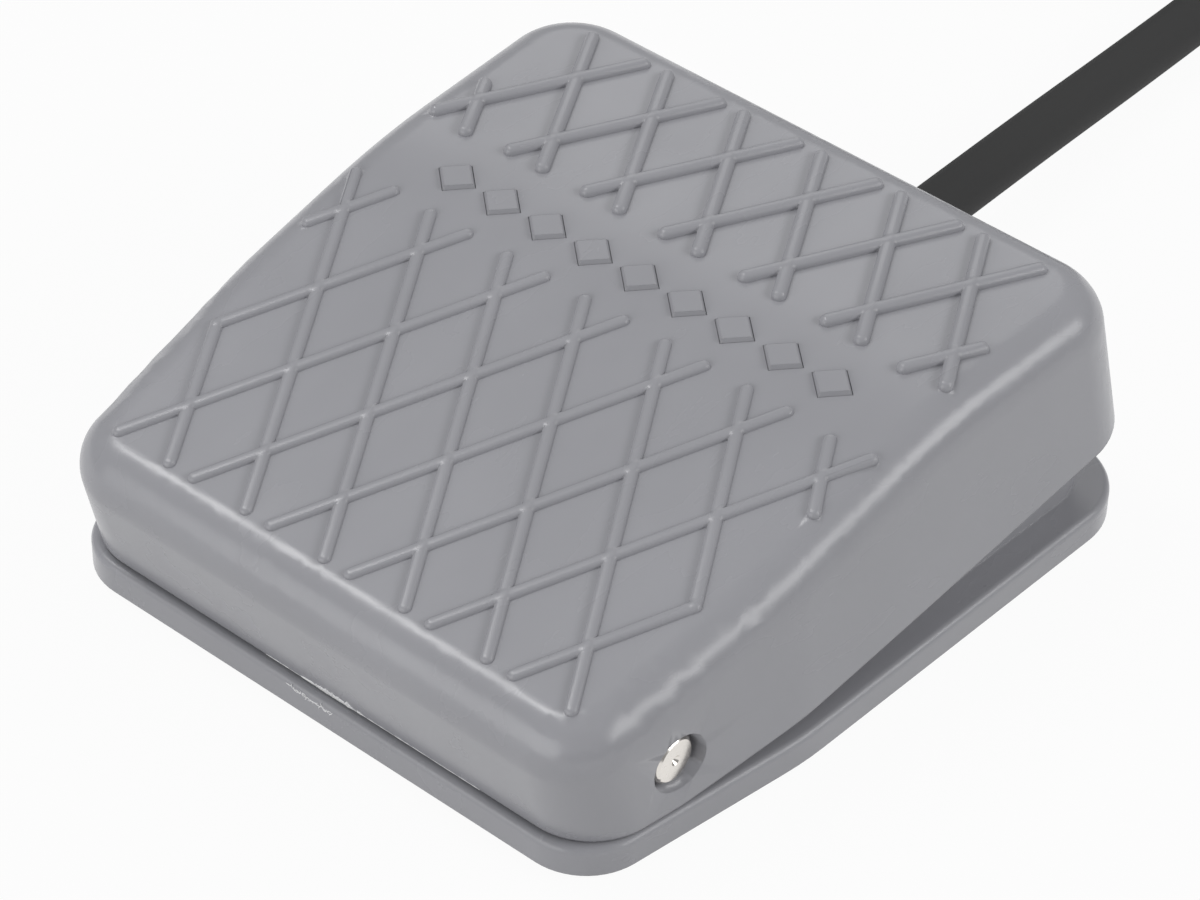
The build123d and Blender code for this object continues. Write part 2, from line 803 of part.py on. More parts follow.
plunger_top = (
    lever_pivot_z
    + plunger_from_pivot * tan(radians(lever_rest_angle))
    + (lever_lift - lever_thickness) / cos(radians(lever_rest_angle))
    - plunger_radius * tan(radians(lever_rest_angle))
    - running_clearance
)
with BuildPart() as switch_plunger:
    with BuildSketch(Plane.XY.offset(plunger_top)):
        with Locations((0, plunger_y)):
            Circle(plunger_radius)
    extrude(amount=-plunger_length)
    fillet(switch_plunger.faces().sort_by(Axis.Z)[-1].edges(), plunger_radius / 2)
switch_plunger.part.label = "switch_plunger"

tags = {}
for name, tag_y in tag_places.items():
    with BuildPart() as tag:
        with BuildSketch(Plane.XY.offset(switch_bottom + tag_depth_in_case)):
            with Locations((0, tag_y)):
                Rectangle(tag_thickness, tag_width)
        extrude(amount=-tag_depth_in_case - tag_drop)
        with BuildSketch(Plane.YZ.offset(-tag_thickness / 2)):
            with Locations((tag_y, switch_bottom - tag_drop + tag_width / 2)):
                Circle(tag_hole_radius)
        extrude(amount=tag_thickness, mode=Mode.SUBTRACT)
    tag.part.label = name
    tags[name] = tag.part


def pan_screw(head_plane, shank_radius, head_radius, head_height, shank_length, places):
    """Slotted pan-head screws: the plane is under the heads and faces away from the shanks."""
    with BuildPart() as screws:
        with BuildSketch(head_plane):
            with Locations(*places):
                Circle(head_radius)
        extrude(amount=head_height)
        head_axis = Axis(head_plane.origin, head_plane.z_dir)
        fillet(screws.edges().group_by(head_axis)[-1], head_height / 2)
        with BuildSketch(head_plane):
            with Locations(*places):
                Circle(shank_radius)
        extrude(amount=-shank_length)
        with BuildSketch(head_plane.offset(head_height - screw_slot_depth)):
            with Locations(*places):
                Rectangle(3 * head_radius, screw_slot_width)
        extrude(amount=head_height, mode=Mode.SUBTRACT)
    return screws.part


# Screws through the snap switch into its bracket
switch_screws = pan_screw(
    Plane.YZ.offset(switch_thickness / 2),
    switch_screw_radius,
    switch_screw_head_radius,
    switch_screw_head,
    switch_thickness + bracket_gap + switch_screw_bite,
    [
        (switch_mid_y - switch_hole_spacing / 2, switch_hole_z),
        (switch_mid_y + switch_hole_spacing / 2, switch_hole_z),
    ],
)
switch_screws.label = "switch_screws"

# Cord clamp and its screws
strap_bottom = cord_z + clamp_gap / 2
with BuildPart() as cord_clamp:
    with BuildSketch(Plane.XZ.offset(-(clamp_y + clamp_length / 2))):
        with Locations((0, strap_bottom + clamp_thickness / 2)):
            Rectangle(2 * clamp_half_width, clamp_thickness)
        with Locations((0, cord_z)):
            Circle(cord_radius + clamp_thickness)
        with Locations((0, strap_bottom - clamp_half_width)):
            Rectangle(4 * clamp_half_width, 2 * clamp_half_width, mode=Mode.SUBTRACT)
        with Locations((0, cord_z)):
            Circle(cord_radius, mode=Mode.SUBTRACT)
    extrude(amount=clamp_length)
    with BuildSketch(Plane.XY.offset(strap_bottom)):
        with Locations((-clamp_screw_x, clamp_y), (clamp_screw_x, clamp_y)):
            Circle(clamp_screw_radius)
    extrude(amount=clamp_thickness, mode=Mode.SUBTRACT)
cord_clamp.part.label = "cord_clamp"

clamp_screws = pan_screw(
    Plane.XY.offset(strap_bottom + clamp_thickness),
    clamp_screw_radius,
    clamp_screw_head_radius,
    clamp_screw_head,
    clamp_screw_length,
    [(-clamp_screw_x, clamp_y), (clamp_screw_x, clamp_y)],
)
clamp_screws.label = "clamp_screws"

# Strain relief: a rubber bush in the rear wall, with a ringed tail
relief_inner_y = wall_inner_y - relief_collar
relief_root_y = from_front(base_length)
relief_end_y = relief_root_y + relief_tail
with BuildPart() as cord_relief:
    with BuildSketch(Plane(origin=(0, 0, cord_z), x_dir=(1, 0, 0), z_dir=(0, 0, 1))):
        with BuildLine():
            Polyline(
                (cord_radius, relief_inner_y),
                (relief_collar_radius, relief_inner_y),
                (relief_collar_radius, wall_inner_y),
                (relief_neck_radius, wall_inner_y),
                (relief_neck_radius, wall_outer_y),
                (relief_collar_radius, wall_outer_y),
                (relief_tail_root_radius, relief_root_y),
                (relief_tail_radius, relief_end_y),
                (cord_radius, relief_end_y),
                close=True,
            )
        make_face()
    revolve(axis=Axis((0, 0, cord_z), (0, 1, 0)))
    for n in range(relief_ring_count):
        ring_y = relief_root_y + (n + 1) * relief_ring_pitch
        with BuildSketch(Plane(origin=(0, 0, cord_z), x_dir=(1, 0, 0), z_dir=(0, 0, 1))):
            ring_taper = (relief_tail_root_radius - relief_tail_radius) * (n + 1) * relief_ring_pitch
            ring_radius = relief_tail_root_radius - ring_taper / relief_tail
            with Locations((ring_radius, ring_y)):
                Rectangle(2 * relief_ring_depth, relief_ring_width)
        revolve(axis=Axis((0, 0, cord_z), (0, 1, 0)), mode=Mode.SUBTRACT)
cord_relief.part.label = "cord_relief"

# Cord: a tube from its end inside the tray, out through the relief and along the floor
lying_z = cord_radius + floor_clearance + turn_slack
coil_outer_turn = coil_middle_radius + (coil_turns_across - 1) * cord_radius
coil_entry_x = coil_centre_x + coil_outer_turn
sheath_end_y = from_front(sheath_end_from_front)
cord_points = [
    (0, sheath_end_y, cord_z),
    (0, cord_first_bend_y, cord_z),
    (coil_entry_x, cord_second_bend_y, lying_z),
    (coil_entry_x, coil_centre_y - coil_lead_in, lying_z),
]


def corner_radii(points):
    """For each corner, 0.45 of its shorter run over the tangent of half its turn."""
    radii = []
    for before, corner, after in zip(points, points[1:], points[2:]):
        run_in = Vector(*corner) - Vector(*before)
        run_out = Vector(*after) - Vector(*corner)
        half_turn = radians(run_in.get_angle(run_out)) / 2
        radii.append(0.45 * min(run_in.length, run_out.length) / tan(half_turn))
    return radii


cord_radii = corner_radii(cord_points)
with BuildPart() as cord:
    with BuildLine():
        cord_route = FilletPolyline(*cord_points, radius=cord_radii)
    with BuildSketch(Plane(origin=cord_route @ 0, z_dir=cord_route % 0)):
        Circle(cord_radius)
    sweep(path=cord_route)
cord.part.label = "cord"
cord_section = pi * cord_radius**2
print("cord radii", [round(r, 1) for r in cord_radii])
print("cord length", round(cord_route.length, 1))
print("cord volume over section times length", cord.part.volume / cord_section / cord_route.length)

# Coil of the spare length: a ring of turns, the lead into it and the end that lies on it
ring_half_width = coil_turns_across * (cord_radius + turn_slack)
ring_height = 2 * (cord_radius + turn_slack) * coil_layers
ring_top = floor_clearance + ring_height
end_axis_z = ring_top + cord_radius - turn_slack
end_x = coil_centre_x - coil_middle_radius
end_start_y = coil_centre_y + coil_end_reach
end_stop_y = end_start_y - coil_end_length
with BuildPart() as cord_coil:
    with BuildSketch(Plane.XZ.offset(-coil_centre_y)):
        with Locations((coil_centre_x + coil_middle_radius, floor_clearance + ring_height / 2)):
            RectangleRounded(2 * ring_half_width, ring_height, coil_edge_round)
    revolve(axis=Axis((coil_centre_x, coil_centre_y, 0), (0, 0, 1)))
    with BuildSketch(Plane.XZ.offset(-coil_centre_y)):
        with Locations((coil_entry_x, lying_z)):
            Circle(cord_radius)
    extrude(amount=coil_lead_in)
    with BuildSketch(Plane.XZ.offset(-end_start_y)):
        with Locations((end_x, end_axis_z)):
            Circle(cord_radius)
    extrude(amount=coil_end_length)
cord_coil.part.label = "cord_coil"

# Stripped end: three cores that lie on the coil, with bare tips
core_aside = core_circle * cos(radians(core_angle))
core_below = core_circle * sin(radians(core_angle))
core_rest_z = ring_top + core_radius + floor_clearance
end_core_starts = {
    "lead_common": (core_aside, -core_below, 1),
    "lead_closed": (0.0, core_circle, 0),
    "lead_open": (-core_aside, -core_below, -1),
}
leads = {}
tip_ends = []
for name, (start_x, start_z, fan) in end_core_starts.items():
    lead_x = end_x + start_x
    lead_points = [
        (lead_x, end_stop_y, end_axis_z + start_z),
        (lead_x, end_stop_y - core_length / 5, end_axis_z + start_z),
        (lead_x + fan * core_fan / 2, end_stop_y - core_length / 2, core_rest_z),
        (lead_x + fan * core_fan, end_stop_y - core_length, core_rest_z),
    ]
    with BuildPart() as lead:
        with BuildLine():
            lead_route = FilletPolyline(*lead_points, radius=corner_radii(lead_points))
        with BuildSketch(Plane(origin=lead_route @ 0, z_dir=lead_route % 0)):
            Circle(core_radius)
        sweep(path=lead_route)
    lead.part.label = name
    leads[name] = lead.part
    tip_ends.append((lead_route @ 1, lead_route % 1))

with BuildPart() as lead_tips:
    for tip_start, tip_direction in tip_ends:
        with BuildSketch(Plane(origin=tip_start, z_dir=tip_direction)):
            Circle(tip_radius)
        extrude(amount=tip_length)
lead_tips.part.label = "lead_tips"

# Inner cores: from the sheath's end, past the spring, to the terminals
lane_z = floor_top + core_radius + floor_clearance
inner_cores = {
    "wire_open": (-core_aside, -core_below, "terminal_open"),
    "wire_closed": (0.0, core_circle, "terminal_closed"),
    "wire_common": (core_aside, -core_below, "terminal_common"),
}
wires = {}
for n, (name, (start_x, start_z, tag_name)) in enumerate(inner_cores.items()):
    lane_x = lane_first + n * lane_pitch
    tag_y = tag_places[tag_name]
    wire_points = [
        (start_x, sheath_end_y, cord_z + start_z),
        (start_x, from_front(core_leaves_from_front[n]), cord_z + start_z),
        (lane_x, from_front(core_joins_from_front[n]), lane_z),
        (lane_x, tag_y + core_turn_in, lane_z),
        (lane_x - core_turn_in, tag_y, lane_z),
        (tag_thickness / 2, tag_y, lane_z),
    ]
    bends = [min(core_bend, r) for r in corner_radii(wire_points)]
    with BuildPart() as wire:
        with BuildLine():
            wire_route = FilletPolyline(*wire_points, radius=bends)
        with BuildSketch(Plane(origin=wire_route @ 0, z_dir=wire_route % 0)):
            Circle(core_radius)
        sweep(path=wire_route)
    wire.part.label = name
    wires[name] = wire.part

# Rubber feet
feet = {}
for name, place in foot_places.items():
    with BuildPart() as foot:
        with BuildSketch(Plane.XY):
            with Locations(place):
                Circle(foot_radius)
        extrude(amount=foot_proud + foot_recess)
        fillet(foot.faces().sort_by(Axis.Z)[0].edges(), foot_edge_round)
    foot.part.label = name
    feet[name] = foot.part

pieces = [
    base.part,
    pedal.part,
    hinge_pin.part,
    return_spring.part,
    switch_case.part,
    switch_cover.part,
    lever_pin.part,
    switch_lever.part,
    switch_plunger.part,
    switch_screws,
    cord_clamp.part,
    clamp_screws,
    cord_relief.part,
    cord.part,
    cord_coil.part,
    lead_tips.part,
    *tags.values(),
    *leads.values(),
    *wires.values(),
    *feet.values(),
]
os.makedirs("parts", exist_ok=True)
for piece in pieces:
    export_step(piece, f"parts/{piece.label}.step")
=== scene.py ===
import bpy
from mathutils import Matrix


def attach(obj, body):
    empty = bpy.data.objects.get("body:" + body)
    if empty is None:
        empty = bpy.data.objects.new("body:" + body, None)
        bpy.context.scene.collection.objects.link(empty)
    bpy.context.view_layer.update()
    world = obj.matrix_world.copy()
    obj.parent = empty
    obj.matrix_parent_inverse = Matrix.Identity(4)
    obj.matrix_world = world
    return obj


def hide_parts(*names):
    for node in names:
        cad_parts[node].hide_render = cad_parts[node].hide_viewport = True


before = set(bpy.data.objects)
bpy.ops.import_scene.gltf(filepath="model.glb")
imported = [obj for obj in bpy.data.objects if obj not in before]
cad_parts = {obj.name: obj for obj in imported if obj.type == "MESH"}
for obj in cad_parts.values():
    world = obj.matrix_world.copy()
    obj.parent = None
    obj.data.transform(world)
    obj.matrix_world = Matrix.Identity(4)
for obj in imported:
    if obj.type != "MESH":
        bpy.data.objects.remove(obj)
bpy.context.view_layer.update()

from math import cos, pi, radians, sin, sqrt, tan

import bmesh
import bpy
from bpy.props import FloatProperty, FloatVectorProperty, IntProperty, PointerProperty
from mathutils import Matrix, Vector, noise

bl_info = {
    "name": "Foot Switch",
    "version": (1, 0, 0),
    "blender": (4, 5, 0),
    "location": "3D View > Sidebar > Foot Switch",
    "description": "Dresses a ribbed pedal foot switch, its cord and its studio",
    "category": "Object",
}

# The camera's place, and the directions of its right and its back
CAMERA_PLACE = Vector((0.2056, -0.24524, 0.28902))
CAMERA_RIGHT = Vector((0.7592, 0.6506, 0.0165))
CAMERA_BACK = Vector((0.4818, -0.5789, 0.6577))
CAMERA_LENS = 130.37
SENSOR_WIDTH = 36.0

# Rubber, sheath and small plastic: colour, roughness, and the grain's scale and depth
SOFT_FINISHES = {
    "relief_rubber": ((0.024, 0.024, 0.025), 0.55, 1500.0, 0.00001),
    "foot_rubber": ((0.04, 0.04, 0.04), 0.7, 1200.0, 0.00002),
    "lead_common_coat": ((0.16, 0.07, 0.03), 0.35, 2500.0, 0.000002),
    "lead_closed_coat": ((0.02, 0.02, 0.02), 0.35, 2500.0, 0.000002),
    "lead_open_coat": ((0.03, 0.12, 0.38), 0.35, 2500.0, 0.000002),
    "switch_case_black": ((0.02, 0.02, 0.022), 0.4, 2400.0, 0.000004),
    "plunger_red": ((0.42, 0.05, 0.04), 0.3, 2600.0, 0.000002),
    "torn_plastic": ((0.9, 0.9, 0.91), 0.4, 3000.0, 0.00001),
}

# Metal: colour, roughness, and the drawn lines' scale and stretch
METAL_FINISHES = {
    "tinned_copper": ((0.7, 0.68, 0.64), 0.3, 2200.0, (4.0, 0.3, 4.0)),
    "bright_nickel": ((0.8, 0.765, 0.72), 0.2, 1500.0, (0.2, 1.0, 1.0)),
    "spring_steel": ((0.55, 0.55, 0.56), 0.32, 900.0, (1.0, 1.0, 1.0)),
    "terminal_brass": ((0.72, 0.56, 0.28), 0.28, 1800.0, (1.0, 3.0, 0.4)),
}
METAL_LINE_DEPTH = 0.000002

# The sheath's roughness, and the scale and depth of its grain
SHEATH_FINISH = (0.42, 1800.0, 0.000006)

# Specks in the moulded plastic: cells in a metre, the specks' radius as a share of a cell,
# the share of cells left without one, and how strongly a speck covers the plastic
SPECK_CELLS = 150.0
SPECK_RADIUS = 0.034
SPECK_FREE_SHARE = 0.82
SPECK_COVER = 0.6
SPECK_COLOUR = (0.78, 0.78, 0.78, 1.0)

# The levels of a noise texture between which its values are spread
NOISE_LOW = 0.3
NOISE_HIGH = 0.7

# The two planes of the pedal's crown that carry ribs: a place on each, and its slope
FRONT_RIBS_PLACE = Vector((0.0, -0.02942, 0.01972))
FRONT_SLOPE = radians(11.26)
REAR_RIBS_PLACE = Vector((0.0, 0.0174, 0.02729))
REAR_SLOPE = radians(0.26)
RIB_HALF_PITCH = 0.005

# The crown's ridge, the radius that joins its two planes, and how close counts as on it
RIDGE_PLACE = Vector((0.0, 0.0084, 0.02725))
CROWN_RADIUS = 0.075
ON_CROWN = 0.00001
ABOVE_CROWN = 0.00002

# Above the spring's cap the crown is drawn smooth: the cap's middle, radius and rise
CAP_MIDDLE = Vector((0.0, 0.0112))
CAP_RADIUS = 0.0063
CAP_RISE = 0.0003

# Crossings of the long ribs in half pitches, and the rows that each rib runs either way
FRONT_CROSSINGS = (-5, -3, -1, 1, 3)
FRONT_ROWS = (0.673, 3.48)
REAR_CROSSINGS = (-6, -4, -2, 0, 2, 4)
REAR_ROWS = (0.418, 1.689)

# Short ribs near the corners: side, crossing, row, rows before it and rows after it
FRONT_SHORT_RIBS = (
    (1, 5, 0, 0.673, 1.0),
    (-1, -5, 0, 0.673, 1.0),
    (1, -6, 1, 0.0, 2.48),
    (-1, 6, 1, 0.0, 2.48),
    (1, -6, 3, 0.36, 0.5),
    (-1, 6, 3, 0.4, 0.44),
)
REAR_SHORT_RIBS = (
    (1, 6, 0, 0.48, 0.28),
    (-1, -6, 0, 0.48, 0.28),
)

# The lozenges along the ridge: how many, their pitch and their place across the crown
STUD_COUNT = 9
STUD_PITCH = 0.0059
STUD_ROW_Y = 0.0072

# Corners closer than this are one, and faces flatter than this angle are joined
MERGE_DISTANCE = 0.000002
FLAT_ANGLE = radians(0.2)

# How far a face may lean from the crown and still belong to it
CROWN_LEAN = radians(20)

# One set of ribs lies this much lower, so that crossing crests never coincide
RIB_CROSSING_STEP = 0.00001

# The moulding flash along the pedal's lower front edge: where it starts and ends, and
# where it is torn most, all from side to side, and its line on the leaning front wall
FLASH_START = -0.0074
FLASH_END = 0.0196
FLASH_TORN = 0.0012
FLASH_TORN_REACH = 0.0042
FLASH_Y = -0.037867
FLASH_Z = 0.0044
FRONT_WALL_LEAN = 0.2215

# The flash's thickness and height, each the least and what the worst tear adds
FLASH_THICKNESS = (0.00002, 0.00016)
FLASH_HEIGHT = (0.00003, 0.0009)
FLASH_STEPS = 420
FLASH_TAPER_STEPS = 8
FLASH_INSIDE = 0.00008
FLASH_LIP = 0.00004

# How many waves of noise in a metre shape the flash's edge, its teeth and its gaps
FLASH_EDGE_WAVES = 1400.0
FLASH_TOOTH_WAVES = 5200.0
FLASH_GAP_WAVES = 420.0
FLASH_GAP_LEVEL = -0.18

# The gate's scar on the base's front rim: its first and last curl, and a curl's size
SCAR_START = Vector((-0.0036, -0.0388, 0.0035))
SCAR_RUN = Vector((0.0054, 0.0, -0.0004))
SCAR_SPREAD = 0.0004
SCAR_REACH = (0.0004, 0.0006)
SCAR_BEND = 6.0
SCAR_RADIUS = 0.00008
SCAR_STEPS = 9

# Where the rounded ends of a rib get their rings, as shares of the end's length
RIB_END_STEPS = (0.0, 0.04, 0.14, 0.3, 0.5, 0.74, 1.0)

# The rounds of the ribs' crests, how many corners each has, and the least share of its
# section that a rib keeps at its very end, squared
FRONT_CREST_ROUND = 0.00048
REAR_CREST_ROUND = 0.0006
CREST_CORNERS = 5
RIB_END_LEAST = 0.002

# How the cord's line follows its points, and how finely it and its section are drawn
CORD_ORDER = 3
CORD_RESOLUTION = 6

# The cord's route before its coil
CORD_ROUTE = (
    (0.0, 0.0252, 0.0068),
    (0.0, 0.066, 0.0068),
    (-0.002, 0.099, 0.00315),
    (-0.002, 0.126, 0.00315),
)

# The coil: its centre, then the angle, radius and height at which its turns change
COIL_CENTRE = (-0.040, 0.152)
COIL_STEPS_PER_TURN = 16
COIL_STATIONS = (
    (0, 0.0381, 0.00315),
    (300, 0.0381, 0.00315),
    (360, 0.032, 0.00315),
    (660, 0.032, 0.00315),
    (720, 0.0259, 0.00315),
    (960, 0.0259, 0.00315),
    (1020, 0.0259, 0.0093),
    (1260, 0.0259, 0.0093),
    (1320, 0.032, 0.0093),
    (1620, 0.032, 0.0093),
    (1680, 0.0381, 0.0093),
    (1890, 0.0381, 0.0093),
    (1935, 0.0375, 0.0149),
)
CORD_END = (
    (-0.072, 0.168, 0.01535),
    (-0.072, 0.160, 0.01535),
)


# The lamps: place, width and height of each, and the setting with its power
LAMPS = {
    "side_box": ((0.78, 0.38, 0.53), (0.8, 0.3), "side_power"),
    "rear_box": ((-0.52, 0.7, 0.62), (0.5, 0.35), "rear_power"),
    "top_box": ((-0.5, -0.06, 0.9), (0.18, 0.5), "top_power"),
    "front_box": ((-0.2, -1.05, 0.36), (1.0, 0.7), "front_power"),
}
LAMPS_AIM = Vector((0.0, 0.0, 0.015))

# The floor's own colour, how much of what the camera sees of it is plain white, and the
# colour of the even light all round
FLOOR_COLOUR = (0.58, 0.58, 0.58, 1.0)
FLOOR_WHITE_SHARE = 0.95
SKY_COLOUR = (0.98, 0.99, 1.0, 1.0)
WHITE = (1.0, 1.0, 1.0, 1.0)


class PlasticSettings(bpy.types.PropertyGroup):
    colour: FloatVectorProperty(
        name="Plastic colour",
        description="Colour of the pedal and the base",
        subtype="COLOR",
        size=3,
        min=0.0,
        max=1.0,
        default=(0.335, 0.335, 0.358),
    )
    roughness: FloatProperty(
        name="Roughness",
        description="Mean roughness of the moulded surface",
        min=0.1,
        max=1.0,
        default=0.25,
    )
    edge_round: FloatProperty(
        name="Edge round",
        description="Radius that softens the moulded edges",
        subtype="DISTANCE",
        min=0.0,
        default=0.0003,
    )
    grain: FloatProperty(
        name="Grain",
        description="Depth of the mould's fine grain",
        subtype="DISTANCE",
        min=0.0,
        default=0.000002,
    )


class RibSettings(bpy.types.PropertyGroup):
    front_width: FloatProperty(
        name="Front width",
        description="Width of the ribs on the front slope",
        subtype="DISTANCE",
        default=0.0013,
    )
    front_height: FloatProperty(
        name="Front height",
        description="Height of the ribs on the front slope",
        subtype="DISTANCE",
        default=0.0005,
    )
    rear_width: FloatProperty(
        name="Rear width",
        description="Width of the ribs on the rear slope",
        subtype="DISTANCE",
        default=0.00146,
    )
    rear_height: FloatProperty(
        name="Rear height",
        description="Height of the ribs on the rear slope",
        subtype="DISTANCE",
        default=0.00075,
    )
    root: FloatProperty(
        name="Root",
        description="Depth of the ribs below the crown",
        subtype="DISTANCE",
        default=0.0006,
    )
    front_row: FloatProperty(
        name="Front row",
        description="Distance between two rows of crossings on the front slope",
        subtype="DISTANCE",
        default=0.00918,
    )
    rear_row: FloatProperty(
        name="Rear row",
        description="Distance between two rows of crossings on the rear slope",
        subtype="DISTANCE",
        default=0.00941,
    )


class StudSettings(bpy.types.PropertyGroup):
    length: FloatProperty(
        name="Length",
        description="Length of a lozenge along the ridge",
        subtype="DISTANCE",
        default=0.00506,
    )
    depth: FloatProperty(
        name="Depth",
        description="Depth of a lozenge from front to back",
        subtype="DISTANCE",
        default=0.00456,
    )
    height: FloatProperty(
        name="Height",
        description="Height of a lozenge above the crown",
        subtype="DISTANCE",
        default=0.0004,
    )
    root: FloatProperty(
        name="Root",
        description="Depth of a lozenge below the crown",
        subtype="DISTANCE",
        default=0.0002,
    )
    top_share: FloatProperty(
        name="Top share",
        description="Size of a lozenge's flat top as a share of its foot",
        min=0.1,
        max=1.0,
        default=0.84,
    )


class CordSettings(bpy.types.PropertyGroup):
    diameter: FloatProperty(
        name="Diameter",
        description="Diameter of the cord's sheath",
        subtype="DISTANCE",
        default=0.006,
    )
    length: FloatProperty(
        name="Length",
        description="Real length of the cord from the switch to its stripped end",
        subtype="DISTANCE",
        default=1.23,
    )
    colour: FloatVectorProperty(
        name="Sheath colour",
        description="Colour of the cord's sheath",
        subtype="COLOR",
        size=3,
        min=0.0,
        max=1.0,
        default=(0.028, 0.028, 0.03),
    )


class WearSettings(bpy.types.PropertyGroup):
    seed: IntProperty(
        name="Seed",
        description="Seed of the wear marks",
        min=0,
        default=7,
    )
    scar_curls: IntProperty(
        name="Curls",
        description="Number of scratches in the gate's scar on the base",
        min=1,
        default=16,
    )


class StageSettings(bpy.types.PropertyGroup):
    floor_size: FloatProperty(
        name="Floor size",
        description="Side of the floor",
        subtype="DISTANCE",
        default=6.0,
    )
    sky: FloatProperty(
        name="Sky",
        description="Strength of the even light all round",
        min=0.0,
        default=0.31,
    )
    side_power: FloatProperty(
        name="Side box",
        description="Power of the soft box behind the right side",
        unit="POWER",
        default=4.2,
    )
    rear_power: FloatProperty(
        name="Rear box",
        description="Power of the soft box behind the left side",
        unit="POWER",
        default=0.7,
    )
    top_power: FloatProperty(
        name="Top box",
        description="Power of the narrow soft box overhead",
        unit="POWER",
        default=3.0,
    )
    front_power: FloatProperty(
        name="Front box",
        description="Power of the soft box before the front",
        unit="POWER",
        default=5.2,
    )


def new_material(name):
    """A node material with its output and a principled shader."""
    material = bpy.data.materials.new(name)
    material.use_nodes = True
    tree = material.node_tree
    tree.nodes.clear()
    output = tree.nodes.new("ShaderNodeOutputMaterial")
    shader = tree.nodes.new("ShaderNodeBsdfPrincipled")
    tree.links.new(shader.outputs["BSDF"], output.inputs["Surface"])
    return material, tree, shader


def math_node(tree, operation, first, second=None):
    """A maths node: each operand is a socket or a number."""
    node = tree.nodes.new("ShaderNodeMath")
    node.operation = operation
    for place, operand in enumerate((first, second)):
        if operand is None:
            continue
        if isinstance(operand, (int, float)):
            node.inputs[place].default_value = operand
        else:
            tree.links.new(operand, node.inputs[place])
    return node.outputs["Value"]


def object_noise(tree, scale, detail=2.0, stretch=(1.0, 1.0, 1.0)):
    """Noise over the object's own coordinates."""
    place = tree.nodes.new("ShaderNodeTexCoord")
    mapping = tree.nodes.new("ShaderNodeMapping")
    mapping.inputs["Scale"].default_value = stretch
    texture = tree.nodes.new("ShaderNodeTexNoise")
    texture.inputs["Scale"].default_value = scale
    texture.inputs["Detail"].default_value = detail
    tree.links.new(place.outputs["Object"], mapping.inputs["Vector"])
    tree.links.new(mapping.outputs["Vector"], texture.inputs["Vector"])
    return texture


def ranged(tree, value, low, high):
    """A noise value spread between two levels."""
    spread = tree.nodes.new("ShaderNodeMapRange")
    spread.inputs["From Min"].default_value = NOISE_LOW
    spread.inputs["From Max"].default_value = NOISE_HIGH
    spread.inputs["To Min"].default_value = low
    spread.inputs["To Max"].default_value = high
    tree.links.new(value, spread.inputs["Value"])
    return spread.outputs["Result"]


def mottled(tree, factor, dark, light):
    """A colour that wanders between two close ones."""
    mix = tree.nodes.new("ShaderNodeMix")
    mix.data_type = "RGBA"
    mix.inputs["A"].default_value = (*dark, 1.0)
    mix.inputs["B"].default_value = (*light, 1.0)
    tree.links.new(factor, mix.inputs["Factor"])
    return mix.outputs["Result"]


def bumped(tree, shader, height, depth, under=None):
    """Gives the shader a fine relief, over the normal of the node under it."""
    bump = tree.nodes.new("ShaderNodeBump")
    bump.inputs["Strength"].default_value = 1.0
    bump.inputs["Distance"].default_value = depth
    tree.links.new(height, bump.inputs["Height"])
    if under is not None:
        tree.links.new(under, bump.inputs["Normal"])
    tree.links.new(bump.outputs["Normal"], shader.inputs["Normal"])


def moulded_plastic(name, colour, roughness, grain, edge_round):
    """Satin moulded plastic: faint clouds, fine grain, soft edges and a few pale specks."""
    material, tree, shader = new_material(name)
    clouds = object_noise(tree, 70.0, 3.0)
    clouded = mottled(
        tree,
        ranged(tree, clouds.outputs["Fac"], 0.0, 1.0),
        [0.975 * c for c in colour],
        [min(1.0, 1.025 * c) for c in colour],
    )
    place = tree.nodes.new("ShaderNodeTexCoord")
    cells = tree.nodes.new("ShaderNodeTexVoronoi")
    cells.inputs["Scale"].default_value = SPECK_CELLS
    tree.links.new(place.outputs["Object"], cells.inputs["Vector"])
    pick = tree.nodes.new("ShaderNodeSeparateColor")
    tree.links.new(cells.outputs["Color"], pick.inputs["Color"])
    near = math_node(tree, "LESS_THAN", cells.outputs["Distance"], SPECK_RADIUS)
    rare = math_node(tree, "GREATER_THAN", pick.outputs["Red"], SPECK_FREE_SHARE)
    both = math_node(tree, "MULTIPLY", near, rare)
    faint = math_node(tree, "MULTIPLY", both, SPECK_COVER)
    specked = tree.nodes.new("ShaderNodeMix")
    specked.data_type = "RGBA"
    specked.inputs["B"].default_value = SPECK_COLOUR
    tree.links.new(faint, specked.inputs["Factor"])
    tree.links.new(clouded, specked.inputs["A"])
    tree.links.new(specked.outputs["Result"], shader.inputs["Base Color"])
    handled = object_noise(tree, 160.0, 4.0, (1.0, 0.35, 1.0))
    rough = ranged(tree, handled.outputs["Fac"], roughness - 0.03, roughness + 0.05)
    tree.links.new(rough, shader.inputs["Roughness"])
    shader.inputs["Specular IOR Level"].default_value = 0.5
    edges = tree.nodes.new("ShaderNodeBevel")
    edges.samples = 4
    edges.inputs["Radius"].default_value = edge_round
    texture = object_noise(tree, 2600.0, 2.0)
    bumped(tree, shader, texture.outputs["Fac"], grain, edges.outputs["Normal"])
    return material


def plated_metal(name, colour, roughness, scratch_scale, stretch):
    """Plated or bright metal with fine drawn lines."""
    material, tree, shader = new_material(name)
    shader.inputs["Metallic"].default_value = 1.0
    lines = object_noise(tree, scratch_scale, 4.0, stretch)
    tint = mottled(
        tree,
        ranged(tree, lines.outputs["Fac"], 0.0, 1.0),
        [0.93 * c for c in colour],
        colour,
    )
    tree.links.new(tint, shader.inputs["Base Color"])
    rough = ranged(tree, lines.outputs["Fac"], roughness - 0.06, roughness + 0.08)
    tree.links.new(rough, shader.inputs["Roughness"])
    bumped(tree, shader, lines.outputs["Fac"], METAL_LINE_DEPTH)
    return material


